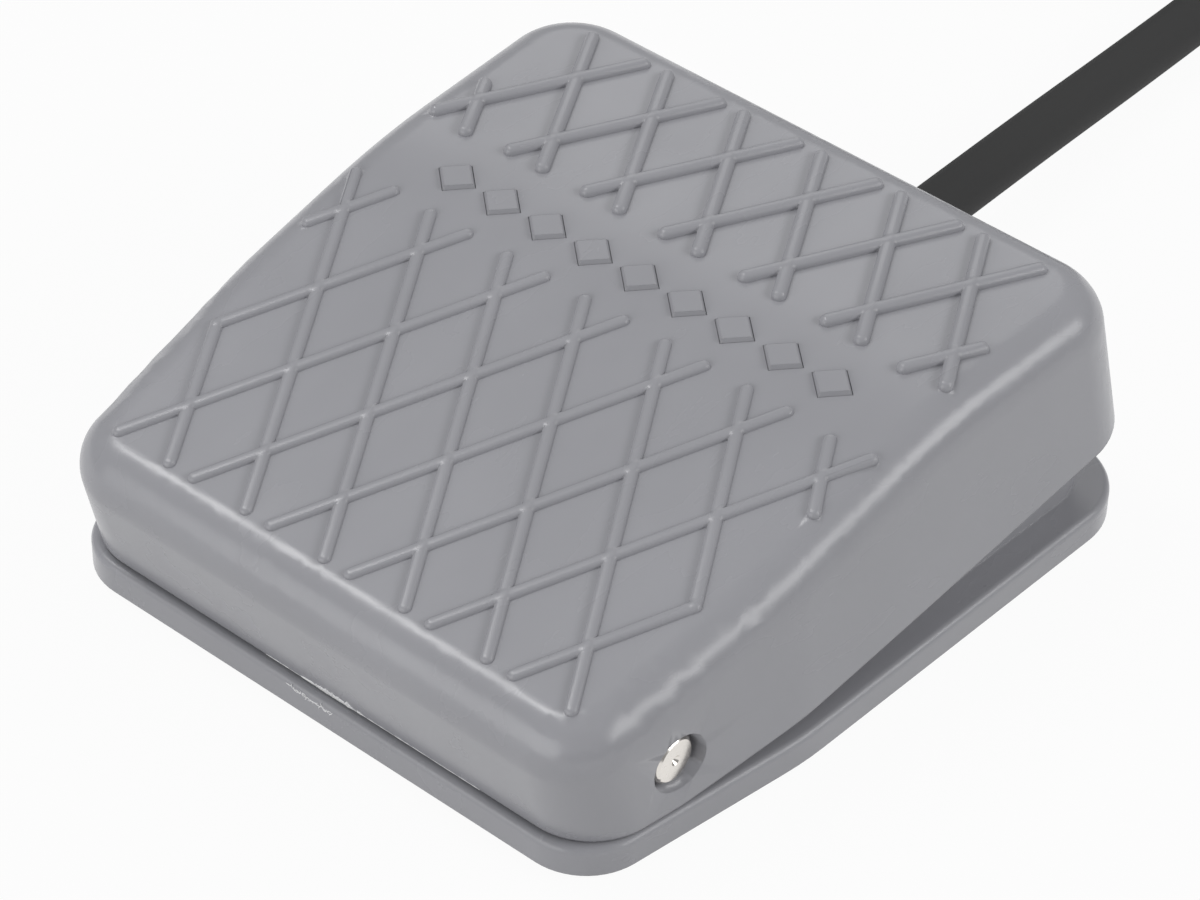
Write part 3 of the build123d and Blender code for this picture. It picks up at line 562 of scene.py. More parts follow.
def soft_coating(name, colour, roughness, grain_scale, grain):
    """Rubber, sheath or small plastic: one colour with a faint bloom and a fine grain."""
    material, tree, shader = new_material(name)
    bloom = object_noise(tree, 220.0, 3.0)
    tint = mottled(
        tree,
        ranged(tree, bloom.outputs["Fac"], 0.0, 1.0),
        [0.9 * c for c in colour],
        [min(1.0, 1.12 * c) for c in colour],
    )
    tree.links.new(tint, shader.inputs["Base Color"])
    rough = ranged(tree, bloom.outputs["Fac"], roughness - 0.05, roughness + 0.07)
    tree.links.new(rough, shader.inputs["Roughness"])
    texture = object_noise(tree, grain_scale, 2.0)
    bumped(tree, shader, texture.outputs["Fac"], grain)
    return material


def shared_material(name, maker, *values):
    """The material of that name, made the first time that it is asked for."""
    return bpy.data.materials.get(name) or maker(name, *values)


def soft(name):
    """One of the soft finishes."""
    return shared_material(name, soft_coating, *SOFT_FINISHES[name])


def metal(name):
    """One of the metal finishes."""
    return shared_material(name, plated_metal, *METAL_FINISHES[name])


def grey_plastic(scene):
    """The plastic of the pedal, the base and the clamp."""
    plastic = scene.switch_plastic
    return shared_material(
        "grey_plastic",
        moulded_plastic,
        tuple(plastic.colour),
        plastic.roughness,
        plastic.grain,
        plastic.edge_round,
    )


def new_piece(name, mesh, body, material=None):
    """A finished piece: an object at the origin that rides on a body."""
    piece = bpy.data.objects.new(name, mesh)
    bpy.context.scene.collection.objects.link(piece)
    if material is not None:
        mesh.materials.clear()
        mesh.materials.append(material)
    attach(piece, body)
    return piece


def smooth_copy(node, name, body, material, sharp_angle=30.0):
    """A copy of a node's mesh, joined up and smoothed, that stands for the node."""
    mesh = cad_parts[node].data.copy()
    mesh.name = name
    work = bmesh.new()
    work.from_mesh(mesh)
    bmesh.ops.remove_doubles(work, verts=work.verts, dist=MERGE_DISTANCE)
    bmesh.ops.dissolve_limit(
        work, angle_limit=FLAT_ANGLE, verts=work.verts, edges=work.edges
    )
    for face in work.faces:
        face.smooth = True
    work.to_mesh(mesh)
    work.free()
    mesh.set_sharp_from_angle(angle=radians(sharp_angle))
    piece = new_piece(name, mesh, body, material)
    weights = piece.modifiers.new("Even normals", "WEIGHTED_NORMAL")
    weights.keep_sharp = True
    weights.weight = 80
    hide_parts(node)
    return piece


def crown_at(y):
    """Height and normal of the pedal's crown at a place from front to back."""
    tangent = CROWN_RADIUS * tan((FRONT_SLOPE - REAR_SLOPE) / 2)
    first_y = RIDGE_PLACE.y - tangent * cos(FRONT_SLOPE)
    last_y = RIDGE_PLACE.y + tangent * cos(REAR_SLOPE)
    if y <= first_y or y >= last_y:
        slope = FRONT_SLOPE if y <= first_y else REAR_SLOPE
        height = RIDGE_PLACE.z + (y - RIDGE_PLACE.y) * tan(slope)
        return height, Vector((0, -sin(slope), cos(slope)))
    centre_y = first_y + CROWN_RADIUS * sin(FRONT_SLOPE)
    centre_z = RIDGE_PLACE.z - tangent * sin(FRONT_SLOPE) - CROWN_RADIUS * cos(FRONT_SLOPE)
    across = (y - centre_y) / CROWN_RADIUS
    upward = sqrt(1 - across * across)
    return centre_z + CROWN_RADIUS * upward, Vector((0, across, upward))


def drop_relief(mesh):
    """Removes the ribs and studs from a copy of the pedal's mesh, and smooths the crown."""
    work = bmesh.new()
    work.from_mesh(mesh)
    for corner in work.verts:
        rise = corner.co.z - crown_at(corner.co.y)[0]
        if 0 < rise < CAP_RISE and (corner.co.xy - CAP_MIDDLE).length < CAP_RADIUS:
            corner.co.z -= rise
    bmesh.ops.remove_doubles(work, verts=work.verts, dist=MERGE_DISTANCE)
    relief = []
    for face in work.faces:
        middle = face.calc_center_median()
        if middle.z > crown_at(middle.y)[0] + ABOVE_CROWN:
            relief.append(face)
    bmesh.ops.delete(work, geom=relief, context="FACES")
    work.to_mesh(mesh)
    work.free()


def true_crown_normals(mesh):
    """Gives every corner that lies on the crown the crown's exact normal."""
    normals = []
    for polygon in mesh.polygons:
        for loop in polygon.loop_indices:
            normal = mesh.corner_normals[loop].vector
            place = mesh.vertices[mesh.loops[loop].vertex_index].co
            height, upright = crown_at(place.y)
            faces_up = polygon.normal.dot(upright) > cos(CROWN_LEAN)
            if faces_up and abs(place.z - height) < ON_CROWN:
                normal = upright
            normals.append(tuple(normal))
    mesh.normals_split_custom_set(normals)


def paint_node(node, material):
    """Gives a CAD node that stays as it is its material."""
    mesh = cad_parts[node].data
    mesh.materials.clear()
    mesh.materials.append(material)


def rib_lines(crossings, rows, short_ribs, row_pitch):
    """The centre line of every rib of a lattice, as two points on its own flat plane."""
    ribs = [(side, side * crossing, 0, *rows) for side in (1, -1) for crossing in crossings]
    ribs += short_ribs
    lines = []
    for side, across, row, before, after in ribs:
        ends = [
            Vector(
                (
                    (across + side * step) * RIB_HALF_PITCH,
                    (row + step) * row_pitch,
                    -RIB_CROSSING_STEP if side < 0 else 0.0,
                )
            )
            for step in (-before, after)
        ]
        lines.append(ends)
    return lines


def rib_line_mesh(name, lines, width):
    """Edges along the ribs' centre lines, with more points where an end is rounded."""
    work = bmesh.new()
    for start, end in lines:
        along = (end - start).normalized()
        first = start - along * width / 2
        last = end + along * width / 2
        places = [first + along * step * width / 2 for step in RIB_END_STEPS]
        places += [last - along * step * width / 2 for step in reversed(RIB_END_STEPS)]
        corners = [work.verts.new(place) for place in places]
        for one, other in zip(corners, corners[1:]):
            work.edges.new((one, other))
    mesh = bpy.data.meshes.new(name)
    work.to_mesh(mesh)
    work.free()
    return mesh


def new_tree(name, sockets):
    """A geometry nodes tree that takes geometry, a material and these other inputs."""
    tree = bpy.data.node_groups.new(name, "GeometryNodeTree")
    inputs = (
        ("Geometry", "NodeSocketGeometry"),
        *sockets,
        ("Material", "NodeSocketMaterial"),
    )
    for label, kind in inputs:
        tree.interface.new_socket(name=label, in_out="INPUT", socket_type=kind)
    tree.interface.new_socket(
        name="Geometry", in_out="OUTPUT", socket_type="NodeSocketGeometry"
    )
    return tree, tree.nodes.new("NodeGroupInput").outputs


def paint_and_end(tree, made, material):
    """Ends a tree: what was made becomes plain geometry in its material."""
    realised = tree.nodes.new("GeometryNodeRealizeInstances")
    painted = tree.nodes.new("GeometryNodeSetMaterial")
    result = tree.nodes.new("NodeGroupOutput")
    tree.links.new(made, realised.inputs["Geometry"])
    tree.links.new(realised.outputs["Geometry"], painted.inputs["Geometry"])
    tree.links.new(material, painted.inputs["Material"])
    tree.links.new(painted.outputs["Geometry"], result.inputs["Geometry"])


def rib_tree():
    """Geometry nodes that turn flat centre lines into round-ended ribs on a slope."""
    sizes = ("Width", "Height", "Root", "Crest Round", "Slope")
    sockets = [(size, "NodeSocketFloat") for size in sizes]
    tree, given = new_tree("Grip ribs", [*sockets, ("Place", "NodeSocketVector")])

    # Distance from the nearer end, as a share of half the width
    parameter = tree.nodes.new("GeometryNodeSplineParameter")
    whole = tree.nodes.new("GeometryNodeSplineLength")
    passed = parameter.outputs["Length"]
    remaining = math_node(tree, "SUBTRACT", whole.outputs["Length"], passed)
    nearest = math_node(tree, "MINIMUM", passed, remaining)
    half_width = math_node(tree, "MULTIPLY", given["Width"], 0.5)
    share = math_node(tree, "MINIMUM", math_node(tree, "DIVIDE", nearest, half_width), 1.0)
    away = math_node(tree, "SUBTRACT", 1.0, share)
    inside = math_node(tree, "SUBTRACT", 1.0, math_node(tree, "MULTIPLY", away, away))
    radius = math_node(tree, "SQRT", math_node(tree, "MAXIMUM", inside, RIB_END_LEAST))

    lines = tree.nodes.new("GeometryNodeMeshToCurve")
    rounded = tree.nodes.new("GeometryNodeSetCurveRadius")
    tree.links.new(given["Geometry"], lines.inputs["Mesh"])
    tree.links.new(lines.outputs["Curve"], rounded.inputs["Curve"])
    tree.links.new(radius, rounded.inputs["Radius"])

    # The section: a block with a rounded crest, partly below the plane
    block = tree.nodes.new("GeometryNodeCurvePrimitiveQuadrilateral")
    tree.links.new(given["Width"], block.inputs["Width"])
    whole_height = math_node(tree, "ADD", given["Height"], given["Root"])
    tree.links.new(whole_height, block.inputs["Height"])
    lift = math_node(tree, "SUBTRACT", given["Height"], given["Root"])
    offset = tree.nodes.new("ShaderNodeCombineXYZ")
    tree.links.new(math_node(tree, "MULTIPLY", lift, -0.5), offset.inputs["Y"])
    raised = tree.nodes.new("GeometryNodeTransform")
    tree.links.new(block.outputs["Curve"], raised.inputs["Geometry"])
    tree.links.new(offset.outputs["Vector"], raised.inputs["Translation"])
    softened = tree.nodes.new("GeometryNodeFilletCurve")
    softened.mode = "POLY"
    softened.inputs["Count"].default_value = CREST_CORNERS
    tree.links.new(raised.outputs["Geometry"], softened.inputs["Curve"])
    tree.links.new(given["Crest Round"], softened.inputs["Radius"])

    swept = tree.nodes.new("GeometryNodeCurveToMesh")
    swept.inputs["Fill Caps"].default_value = True
    tree.links.new(rounded.outputs["Curve"], swept.inputs["Curve"])
    tree.links.new(softened.outputs["Curve"], swept.inputs["Profile Curve"])
    tree.links.new(radius, swept.inputs["Scale"])

    # On to the slope of the crown
    tilt = tree.nodes.new("ShaderNodeCombineXYZ")
    tree.links.new(given["Slope"], tilt.inputs["X"])
    placed = tree.nodes.new("GeometryNodeTransform")
    tree.links.new(swept.outputs["Mesh"], placed.inputs["Geometry"])
    tree.links.new(given["Place"], placed.inputs["Translation"])
    tree.links.new(tilt.outputs["Vector"], placed.inputs["Rotation"])
    paint_and_end(tree, placed.outputs["Geometry"], given["Material"])
    return tree


def run_tree(name, mesh, tree, values, body, sharp_angle=40.0):
    """Applies a geometry nodes tree to a mesh and keeps the result as a plain piece."""
    source = bpy.data.objects.new(name + "_lines", mesh)
    bpy.context.scene.collection.objects.link(source)
    modifier = source.modifiers.new(name, "NODES")
    modifier.node_group = tree
    for item in tree.interface.items_tree:
        if item.in_out == "INPUT" and item.name in values:
            modifier[item.identifier] = values[item.name]
    source.update_tag()
    depsgraph = bpy.context.evaluated_depsgraph_get()
    made = bpy.data.meshes.new_from_object(source.evaluated_get(depsgraph))
    made.name = name
    source.modifiers.remove(modifier)
    bpy.data.objects.remove(source)
    work = bmesh.new()
    work.from_mesh(made)
    bmesh.ops.remove_doubles(work, verts=work.verts, dist=0.000001)
    bmesh.ops.recalc_face_normals(work, faces=work.faces)
    for face in work.faces:
        face.smooth = True
    work.to_mesh(made)
    work.free()
    made.set_sharp_from_angle(angle=radians(sharp_angle))
    return new_piece(name, made, body)


def nurbs_line(name, points, radius):
    """A smooth round line with these control points."""
    curve = bpy.data.curves.new(name, "CURVE")
    curve.dimensions = "3D"
    spline = curve.splines.new("NURBS")
    spline.points.add(len(points) - 1)
    for point, place in zip(spline.points, points):
        point.co = (*place, 1.0)
    spline.order_u = CORD_ORDER
    spline.use_endpoint_u = True
    spline.resolution_u = CORD_RESOLUTION
    curve.bevel_depth = radius
    curve.bevel_resolution = CORD_RESOLUTION
    curve.use_fill_caps = True
    return curve


def coil_points():
    """Control points of the coil's turns, spaced evenly by angle."""
    step = 360.0 / COIL_STEPS_PER_TURN
    outward = 1.0 / cos(radians(step / 2))
    last = COIL_STATIONS[-1][0]
    points = []
    for n in range(1, int(last / step) + 1):
        angle = n * step
        after = next(i for i, station in enumerate(COIL_STATIONS) if station[0] >= angle)
        (a, radius_a, z_a), (b, radius_b, z_b) = COIL_STATIONS[after - 1 : after + 1]
        share = (angle - a) / (b - a)
        radius = (radius_a + share * (radius_b - radius_a)) * outward
        height = z_a + share * (z_b - z_a)
        points.append(
            (
                COIL_CENTRE[0] + radius * cos(radians(angle)),
                COIL_CENTRE[1] + radius * sin(radians(angle)),
                height,
            )
        )
    return points


class FOOTSWITCH_OT_camera(bpy.types.Operator):
    """Set up the camera at the photograph's viewing angle"""

    bl_idname = "footswitch.camera"
    bl_label = "Camera"

    def execute(self, context):
        camera = bpy.data.cameras.new("camera")
        camera.lens = CAMERA_LENS
        camera.sensor_width = SENSOR_WIDTH
        camera.clip_start = 0.01
        viewer = bpy.data.objects.new("camera", camera)
        context.scene.collection.objects.link(viewer)
        back = CAMERA_BACK.normalized()
        right = (CAMERA_RIGHT - back * CAMERA_RIGHT.dot(back)).normalized()
        turn = Matrix((right, back.cross(right), back)).transposed().to_4x4()
        viewer.matrix_world = Matrix.Translation(CAMERA_PLACE) @ turn
        context.scene.camera = viewer
        return {"FINISHED"}


class FOOTSWITCH_OT_cord(bpy.types.Operator):
    """Lay the cord and its coil, with its strain relief and its stripped cores"""

    bl_idname = "footswitch.cord"
    bl_label = "Cord"

    def execute(self, context):
        settings = context.scene.switch_cord
        sheath = shared_material(
            "cord_sheath", soft_coating, tuple(settings.colour), *SHEATH_FINISH
        )
        rubber = soft("relief_rubber")
        relief = smooth_copy("cord_relief", "relief_bush", "base", rubber)
        route = [*CORD_ROUTE, *coil_points(), *CORD_END]
        line = nurbs_line("cord", route, settings.diameter / 2)
        line.materials.append(sheath)
        cord = bpy.data.objects.new("cord_line", line)
        context.scene.collection.objects.link(cord)
        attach(cord, "base")
        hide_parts("cord", "cord_coil")
        for node in ("lead_common", "lead_closed", "lead_open"):
            coat = soft(node + "_coat")
            smooth_copy(node, node + "_core", "base", coat)
        tin = metal("tinned_copper")
        smooth_copy("lead_tips", "bare_tips", "base", tin)
        return {"FINISHED"}


class FOOTSWITCH_OT_base(bpy.types.Operator):
    """Finish the base tray"""

    bl_idname = "footswitch.base"
    bl_label = "Base"

    def execute(self, context):
        plastic = grey_plastic(context.scene)
        smooth_copy("base", "base_tray", "base", plastic)
        return {"FINISHED"}


class FOOTSWITCH_OT_feet(bpy.types.Operator):
    """Finish the four rubber feet"""

    bl_idname = "footswitch.feet"
    bl_label = "Feet"

    def execute(self, context):
        rubber = soft("foot_rubber")
        for side in ("front_left", "front_right", "rear_left", "rear_right"):
            smooth_copy("foot_" + side, "pad_" + side, "base", rubber)
        return {"FINISHED"}


class FOOTSWITCH_OT_pedal(bpy.types.Operator):
    """Finish the pedal's shell"""

    bl_idname = "footswitch.pedal"
    bl_label = "Pedal"

    def execute(self, context):
        plastic = grey_plastic(context.scene)
        shell = smooth_copy("pedal", "pedal_shell", "pedal", plastic)
        drop_relief(shell.data)
        depsgraph = context.evaluated_depsgraph_get()
        even = bpy.data.meshes.new_from_object(shell.evaluated_get(depsgraph))
        shell.modifiers.clear()
        shell.data = even
        even.name = "pedal_shell"
        true_crown_normals(even)
        return {"FINISHED"}


class FOOTSWITCH_OT_ribs(bpy.types.Operator):
    """Lay the round-ended grip ribs over the pedal's crown"""

    bl_idname = "footswitch.ribs"
    bl_label = "Grip Ribs"

    def execute(self, context):
        sizes = context.scene.switch_ribs
        plastic = grey_plastic(context.scene)
        tree = rib_tree()
        lattices = {
            "front_ribs": (
                rib_lines(FRONT_CROSSINGS, FRONT_ROWS, FRONT_SHORT_RIBS, sizes.front_row),
                sizes.front_width,
                sizes.front_height,
                FRONT_CREST_ROUND,
                FRONT_SLOPE,
                FRONT_RIBS_PLACE,
            ),
            "rear_ribs": (
                rib_lines(REAR_CROSSINGS, REAR_ROWS, REAR_SHORT_RIBS, sizes.rear_row),
                sizes.rear_width,
                sizes.rear_height,
                REAR_CREST_ROUND,
                REAR_SLOPE,
                REAR_RIBS_PLACE,
            ),
        }
        for name, (lines, width, height, crest, slope, place) in lattices.items():
            values = {
                "Width": width,
                "Height": height,
                "Root": sizes.root,
                "Crest Round": crest,
                "Slope": slope,
                "Place": place,
                "Material": plastic,
            }
            mesh = rib_line_mesh(name, lines, width)
            run_tree(name, mesh, tree, values, "pedal")
        return {"FINISHED"}


def stud_tree():
    """Geometry nodes that set a flat-topped lozenge on every point."""
    sizes = ("Length", "Depth", "Height", "Root", "Top Share", "Lean")
    tree, given = new_tree("Grip studs", [(size, "NodeSocketFloat") for size in sizes])
    lozenge = tree.nodes.new("GeometryNodeMeshCone")
    lozenge.inputs["Vertices"].default_value = 4
    lozenge.inputs["Radius Bottom"].default_value = 1.0
    tree.links.new(given["Top Share"], lozenge.inputs["Radius Top"])
    whole_height = math_node(tree, "ADD", given["Height"], given["Root"])
    tree.links.new(whole_height, lozenge.inputs["Depth"])
    size = tree.nodes.new("ShaderNodeCombineXYZ")
    tree.links.new(math_node(tree, "MULTIPLY", given["Length"], 0.5), size.inputs["X"])
    tree.links.new(math_node(tree, "MULTIPLY", given["Depth"], 0.5), size.inputs["Y"])
    size.inputs["Z"].default_value = 1.0
    sunk = tree.nodes.new("ShaderNodeCombineXYZ")
    tree.links.new(math_node(tree, "MULTIPLY", given["Root"], -1.0), sunk.inputs["Z"])
    shaped = tree.nodes.new("GeometryNodeTransform")
    tree.links.new(lozenge.outputs["Mesh"], shaped.inputs["Geometry"])
    tree.links.new(size.outputs["Vector"], shaped.inputs["Scale"])
    tree.links.new(sunk.outputs["Vector"], shaped.inputs["Translation"])
    lean = tree.nodes.new("ShaderNodeCombineXYZ")
    tree.links.new(given["Lean"], lean.inputs["X"])
    placed = tree.nodes.new("GeometryNodeInstanceOnPoints")
    tree.links.new(given["Geometry"], placed.inputs["Points"])
    tree.links.new(shaped.outputs["Geometry"], placed.inputs["Instance"])
    tree.links.new(lean.outputs["Vector"], placed.inputs["Rotation"])
    paint_and_end(tree, placed.outputs["Instances"], given["Material"])
    return tree


class FOOTSWITCH_OT_studs(bpy.types.Operator):
    """Set the row of raised lozenges along the pedal's ridge"""

    bl_idname = "footswitch.studs"
    bl_label = "Grip Studs"

    def execute(self, context):
        sizes = context.scene.switch_studs
        height, upright = crown_at(STUD_ROW_Y)
        middle = (STUD_COUNT - 1) / 2
        places = [
            ((n - middle) * STUD_PITCH, STUD_ROW_Y, height) for n in range(STUD_COUNT)
        ]
        mesh = bpy.data.meshes.new("grip_studs")
        mesh.from_pydata(places, [], [])
        values = {
            "Length": sizes.length,
            "Depth": sizes.depth,
            "Height": sizes.height,
            "Root": sizes.root,
            "Top Share": sizes.top_share,
            "Lean": -upright.y,
            "Material": grey_plastic(context.scene),
        }
        run_tree("grip_studs", mesh, stud_tree(), values, "pedal", 20.0)
        return {"FINISHED"}


class FOOTSWITCH_OT_pin(bpy.types.Operator):
    """Finish the nickel-plated hinge pin"""

    bl_idname = "footswitch.pin"
    bl_label = "Hinge Pin"

    def execute(self, context):
        nickel = metal("bright_nickel")
        smooth_copy("hinge_pin", "nickel_pin", "base", nickel)
        paint_node("lever_pin", nickel)
        return {"FINISHED"}


class FOOTSWITCH_OT_mechanism(bpy.types.Operator):
    """Paint the spring, the snap switch, the clamp and the wires inside"""

    bl_idname = "footswitch.mechanism"
    bl_label = "Mechanism"

    def execute(self, context):
        steel = metal("spring_steel")
        brass = metal("terminal_brass")
        case = soft("switch_case_black")
        finishes = {
            "return_spring": steel,
            "switch_lever": steel,
            "switch_screws": steel,
            "clamp_screws": steel,
            "switch_case": case,
            "switch_cover": case,
            "switch_plunger": soft("plunger_red"),
            "terminal_common": brass,
            "terminal_closed": brass,
            "terminal_open": brass,
            "cord_clamp": grey_plastic(context.scene),
            "wire_common": soft("lead_common_coat"),
            "wire_closed": soft("lead_closed_coat"),
            "wire_open": soft("lead_open_coat"),
        }
        for node, finish in finishes.items():
            paint_node(node, finish)
        return {"FINISHED"}


class FOOTSWITCH_OT_wear(bpy.types.Operator):
    """Add the moulding flash and the scar of the mould's gate"""

    bl_idname = "footswitch.wear"
    bl_label = "Wear"

    def execute(self, context):
        settings = context.scene.switch_wear
        pale = soft("torn_plastic")
        self.flash(settings.seed, pale)
        self.scar(settings.seed, settings.scar_curls, pale)
        return {"FINISHED"}

    def flash(self, seed, pale):
        """A ragged thread of flash along the pedal's lower front edge."""
        work = bmesh.new()
        rings = []
        for n in range(FLASH_STEPS + 1):
            x = FLASH_START + (FLASH_END - FLASH_START) * n / FLASH_STEPS
            rough = noise.noise(Vector((x * FLASH_EDGE_WAVES, seed, 0.0)))
            finer = noise.noise(Vector((x * FLASH_TOOTH_WAVES, seed, 5.0)))
            gap = noise.noise(Vector((x * FLASH_GAP_WAVES, seed, 9.0)))
            torn = max(0.0, 1.0 - ((x - FLASH_TORN) / FLASH_TORN_REACH) ** 2)
            size = max(0.0, 0.55 + 0.7 * rough + 0.5 * finer) * (0.1 + 0.9 * torn)
            if gap < FLASH_GAP_LEVEL and torn < 0.5:
                size = 0.0
            size *= min(1.0, n / FLASH_TAPER_STEPS, (FLASH_STEPS - n) / FLASH_TAPER_STEPS)
            thick = FLASH_THICKNESS[0] + FLASH_THICKNESS[1] * size
            tall = FLASH_HEIGHT[0] + FLASH_HEIGHT[1] * size
            section = (
                (0.5 * tall, thick * (1 + finer)),
                (-FLASH_LIP - 0.1 * tall, 0.6 * thick),
                (-FLASH_LIP, -FLASH_INSIDE),
                (tall, -FLASH_LIP),
            )
            ring = []
            for rise, out in section:
                y = FLASH_Y - FRONT_WALL_LEAN * rise - out
                ring.append(work.verts.new((x, y, FLASH_Z + rise)))
            rings.append(ring)
        for one, other in zip(rings, rings[1:]):
            for k in range(4):
                after = (k + 1) % 4
                work.faces.new((one[k], other[k], other[after], one[after]))
        work.faces.new(rings[0])
        work.faces.new(list(reversed(rings[-1])))
        bmesh.ops.recalc_face_normals(work, faces=work.faces)
        mesh = bpy.data.meshes.new("moulding_flash")
        work.to_mesh(mesh)
        work.free()
        new_piece("moulding_flash", mesh, "pedal", pale)

    def scar(self, seed, curls, pale):
        """Curled scratches on the base's front rim, where the mould was fed."""
        curve = bpy.data.curves.new("gate_scar", "CURVE")
        curve.dimensions = "3D"
        curve.bevel_depth = SCAR_RADIUS
        curve.bevel_resolution = 1
        for n in range(curls):
            middle = SCAR_START + SCAR_RUN * (n / max(1, curls - 1))
            middle.z += SCAR_SPREAD * noise.noise(Vector((n * 3.1, seed, 1.0)))
            turn = pi * noise.noise(Vector((n * 1.7, seed, 2.0)))
            longer = abs(noise.noise(Vector((n * 2.3, seed, 3.0))))
            reach = SCAR_REACH[0] + SCAR_REACH[1] * longer
            bend = SCAR_BEND * noise.noise(Vector((n * 4.1, seed, 4.0)))
            spline = curve.splines.new("POLY")
            spline.points.add(SCAR_STEPS)
            for k, point in enumerate(spline.points):
                along = k / SCAR_STEPS - 0.5
                angle = turn + bend * along
                x = middle.x + 2.0 * reach * along * cos(angle)
                z = middle.z + 1.6 * reach * along * sin(angle)
                point.co = (x, middle.y, z, 1.0)
                point.radius = 1.0 - 1.6 * abs(along)
        holder = bpy.data.objects.new("gate_scar_lines", curve)
        bpy.context.scene.collection.objects.link(holder)
        depsgraph = bpy.context.evaluated_depsgraph_get()
        mesh = bpy.data.meshes.new_from_object(holder.evaluated_get(depsgraph))
        bpy.data.objects.remove(holder)
        new_piece("gate_scar", mesh, "base", pale)


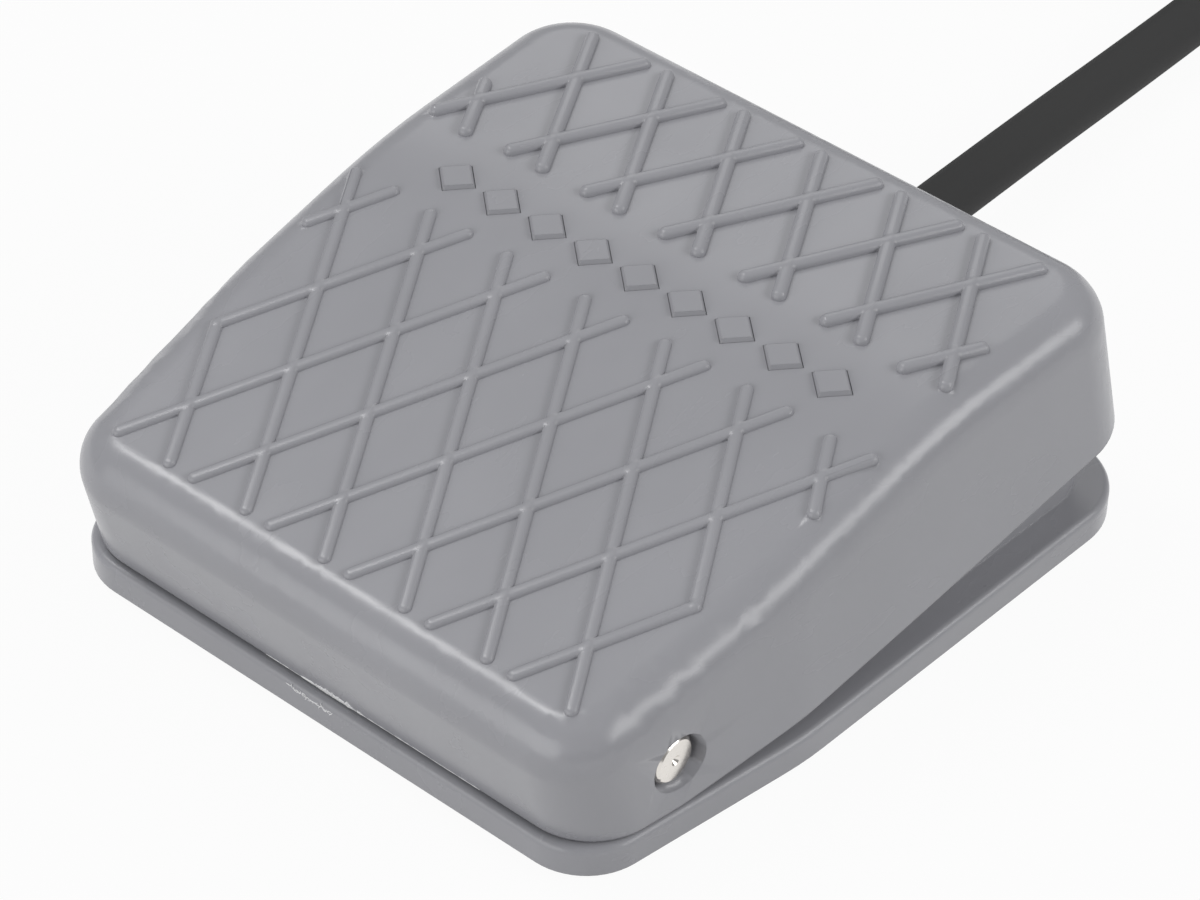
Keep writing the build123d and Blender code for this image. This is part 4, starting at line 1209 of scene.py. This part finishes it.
class FOOTSWITCH_OT_stage(bpy.types.Operator):
    """Lay the floor and set the lamps and the even light all round"""

    bl_idname = "footswitch.stage"
    bl_label = "Stage"

    def execute(self, context):
        settings = context.scene.switch_stage
        self.floor(settings.floor_size)
        self.sky(context.scene, settings.sky)
        for name, (place, size, power) in LAMPS.items():
            self.lamp(name, place, size, getattr(settings, power))
        context.scene.view_settings.view_transform = "Standard"
        return {"FINISHED"}

    def floor(self, size):
        """A pale floor, which the camera sees as white paper with soft shadows."""
        work = bmesh.new()
        bmesh.ops.create_grid(work, x_segments=8, y_segments=8, size=size / 2)
        mesh = bpy.data.meshes.new("floor")
        work.to_mesh(mesh)
        work.free()
        material = bpy.data.materials.new("pale_floor")
        material.use_nodes = True
        tree = material.node_tree
        tree.nodes.clear()
        output = tree.nodes.new("ShaderNodeOutputMaterial")
        paper = tree.nodes.new("ShaderNodeBsdfDiffuse")
        paper.inputs["Color"].default_value = FLOOR_COLOUR
        glow = tree.nodes.new("ShaderNodeEmission")
        glow.inputs["Strength"].default_value = 1.0
        rays = tree.nodes.new("ShaderNodeLightPath")
        glossy = rays.outputs["Is Glossy Ray"]
        seen = math_node(tree, "MAXIMUM", rays.outputs["Is Camera Ray"], glossy)
        seen = math_node(tree, "MAXIMUM", seen, rays.outputs["Is Transmission Ray"])
        share = math_node(tree, "MULTIPLY", seen, FLOOR_WHITE_SHARE)
        mix = tree.nodes.new("ShaderNodeMixShader")
        tree.links.new(share, mix.inputs["Fac"])
        tree.links.new(paper.outputs["BSDF"], mix.inputs[1])
        tree.links.new(glow.outputs["Emission"], mix.inputs[2])
        tree.links.new(mix.outputs["Shader"], output.inputs["Surface"])
        mesh.materials.append(material)
        floor = bpy.data.objects.new("floor", mesh)
        bpy.context.scene.collection.objects.link(floor)

    def sky(self, scene, strength):
        """An even light all round, which the camera sees as white."""
        world = bpy.data.worlds.new("studio")
        scene.world = world
        world.use_nodes = True
        tree = world.node_tree
        tree.nodes.clear()
        output = tree.nodes.new("ShaderNodeOutputWorld")
        even = tree.nodes.new("ShaderNodeBackground")
        even.inputs["Color"].default_value = SKY_COLOUR
        even.inputs["Strength"].default_value = strength
        white = tree.nodes.new("ShaderNodeBackground")
        rays = tree.nodes.new("ShaderNodeLightPath")
        mix = tree.nodes.new("ShaderNodeMixShader")
        white.inputs["Color"].default_value = WHITE
        tree.links.new(rays.outputs["Is Camera Ray"], mix.inputs["Fac"])
        tree.links.new(even.outputs["Background"], mix.inputs[1])
        tree.links.new(white.outputs["Background"], mix.inputs[2])
        tree.links.new(mix.outputs["Shader"], output.inputs["Surface"])

    def lamp(self, name, place, size, power):
        """A soft box that faces the foot switch."""
        lamp = bpy.data.lights.new(name, "AREA")
        lamp.shape = "RECTANGLE"
        lamp.size, lamp.size_y = size
        lamp.energy = power
        holder = bpy.data.objects.new(name, lamp)
        bpy.context.scene.collection.objects.link(holder)
        holder.location = place
        away = Vector(place) - LAMPS_AIM
        holder.rotation_euler = away.to_track_quat("Z", "Y").to_euler()


PIECE_OPERATORS = (
    FOOTSWITCH_OT_camera,
    FOOTSWITCH_OT_cord,
    FOOTSWITCH_OT_base,
    FOOTSWITCH_OT_feet,
    FOOTSWITCH_OT_pedal,
    FOOTSWITCH_OT_ribs,
    FOOTSWITCH_OT_studs,
    FOOTSWITCH_OT_pin,
    FOOTSWITCH_OT_mechanism,
    FOOTSWITCH_OT_wear,
    FOOTSWITCH_OT_stage,
)


class FOOTSWITCH_PT_panel(bpy.types.Panel):
    """The pieces of the foot switch, each with its button"""

    bl_idname = "FOOTSWITCH_PT_panel"
    bl_label = "Foot Switch"
    bl_space_type = "VIEW_3D"
    bl_region_type = "UI"
    bl_category = "Foot Switch"

    def draw(self, context):
        for operator in PIECE_OPERATORS:
            self.layout.operator(operator.bl_idname)


SETTINGS = {
    "switch_plastic": PlasticSettings,
    "switch_ribs": RibSettings,
    "switch_studs": StudSettings,
    "switch_cord": CordSettings,
    "switch_wear": WearSettings,
    "switch_stage": StageSettings,
}


def register():
    for name, group in SETTINGS.items():
        bpy.utils.register_class(group)
        setattr(bpy.types.Scene, name, PointerProperty(type=group))
    for operator in PIECE_OPERATORS:
        bpy.utils.register_class(operator)
    bpy.utils.register_class(FOOTSWITCH_PT_panel)


def unregister():
    bpy.utils.unregister_class(FOOTSWITCH_PT_panel)
    for operator in reversed(PIECE_OPERATORS):
        bpy.utils.unregister_class(operator)
    for name, group in SETTINGS.items():
        delattr(bpy.types.Scene, name)
        bpy.utils.unregister_class(group)


def main():
    register()
    bpy.ops.footswitch.camera()
    bpy.ops.footswitch.cord()
    bpy.ops.footswitch.base()
    bpy.ops.footswitch.feet()
    bpy.ops.footswitch.pedal()
    bpy.ops.footswitch.ribs()
    bpy.ops.footswitch.studs()
    bpy.ops.footswitch.pin()
    bpy.ops.footswitch.mechanism()
    bpy.ops.footswitch.wear()
    bpy.ops.footswitch.stage()


if __name__ == "__main__":
    main()
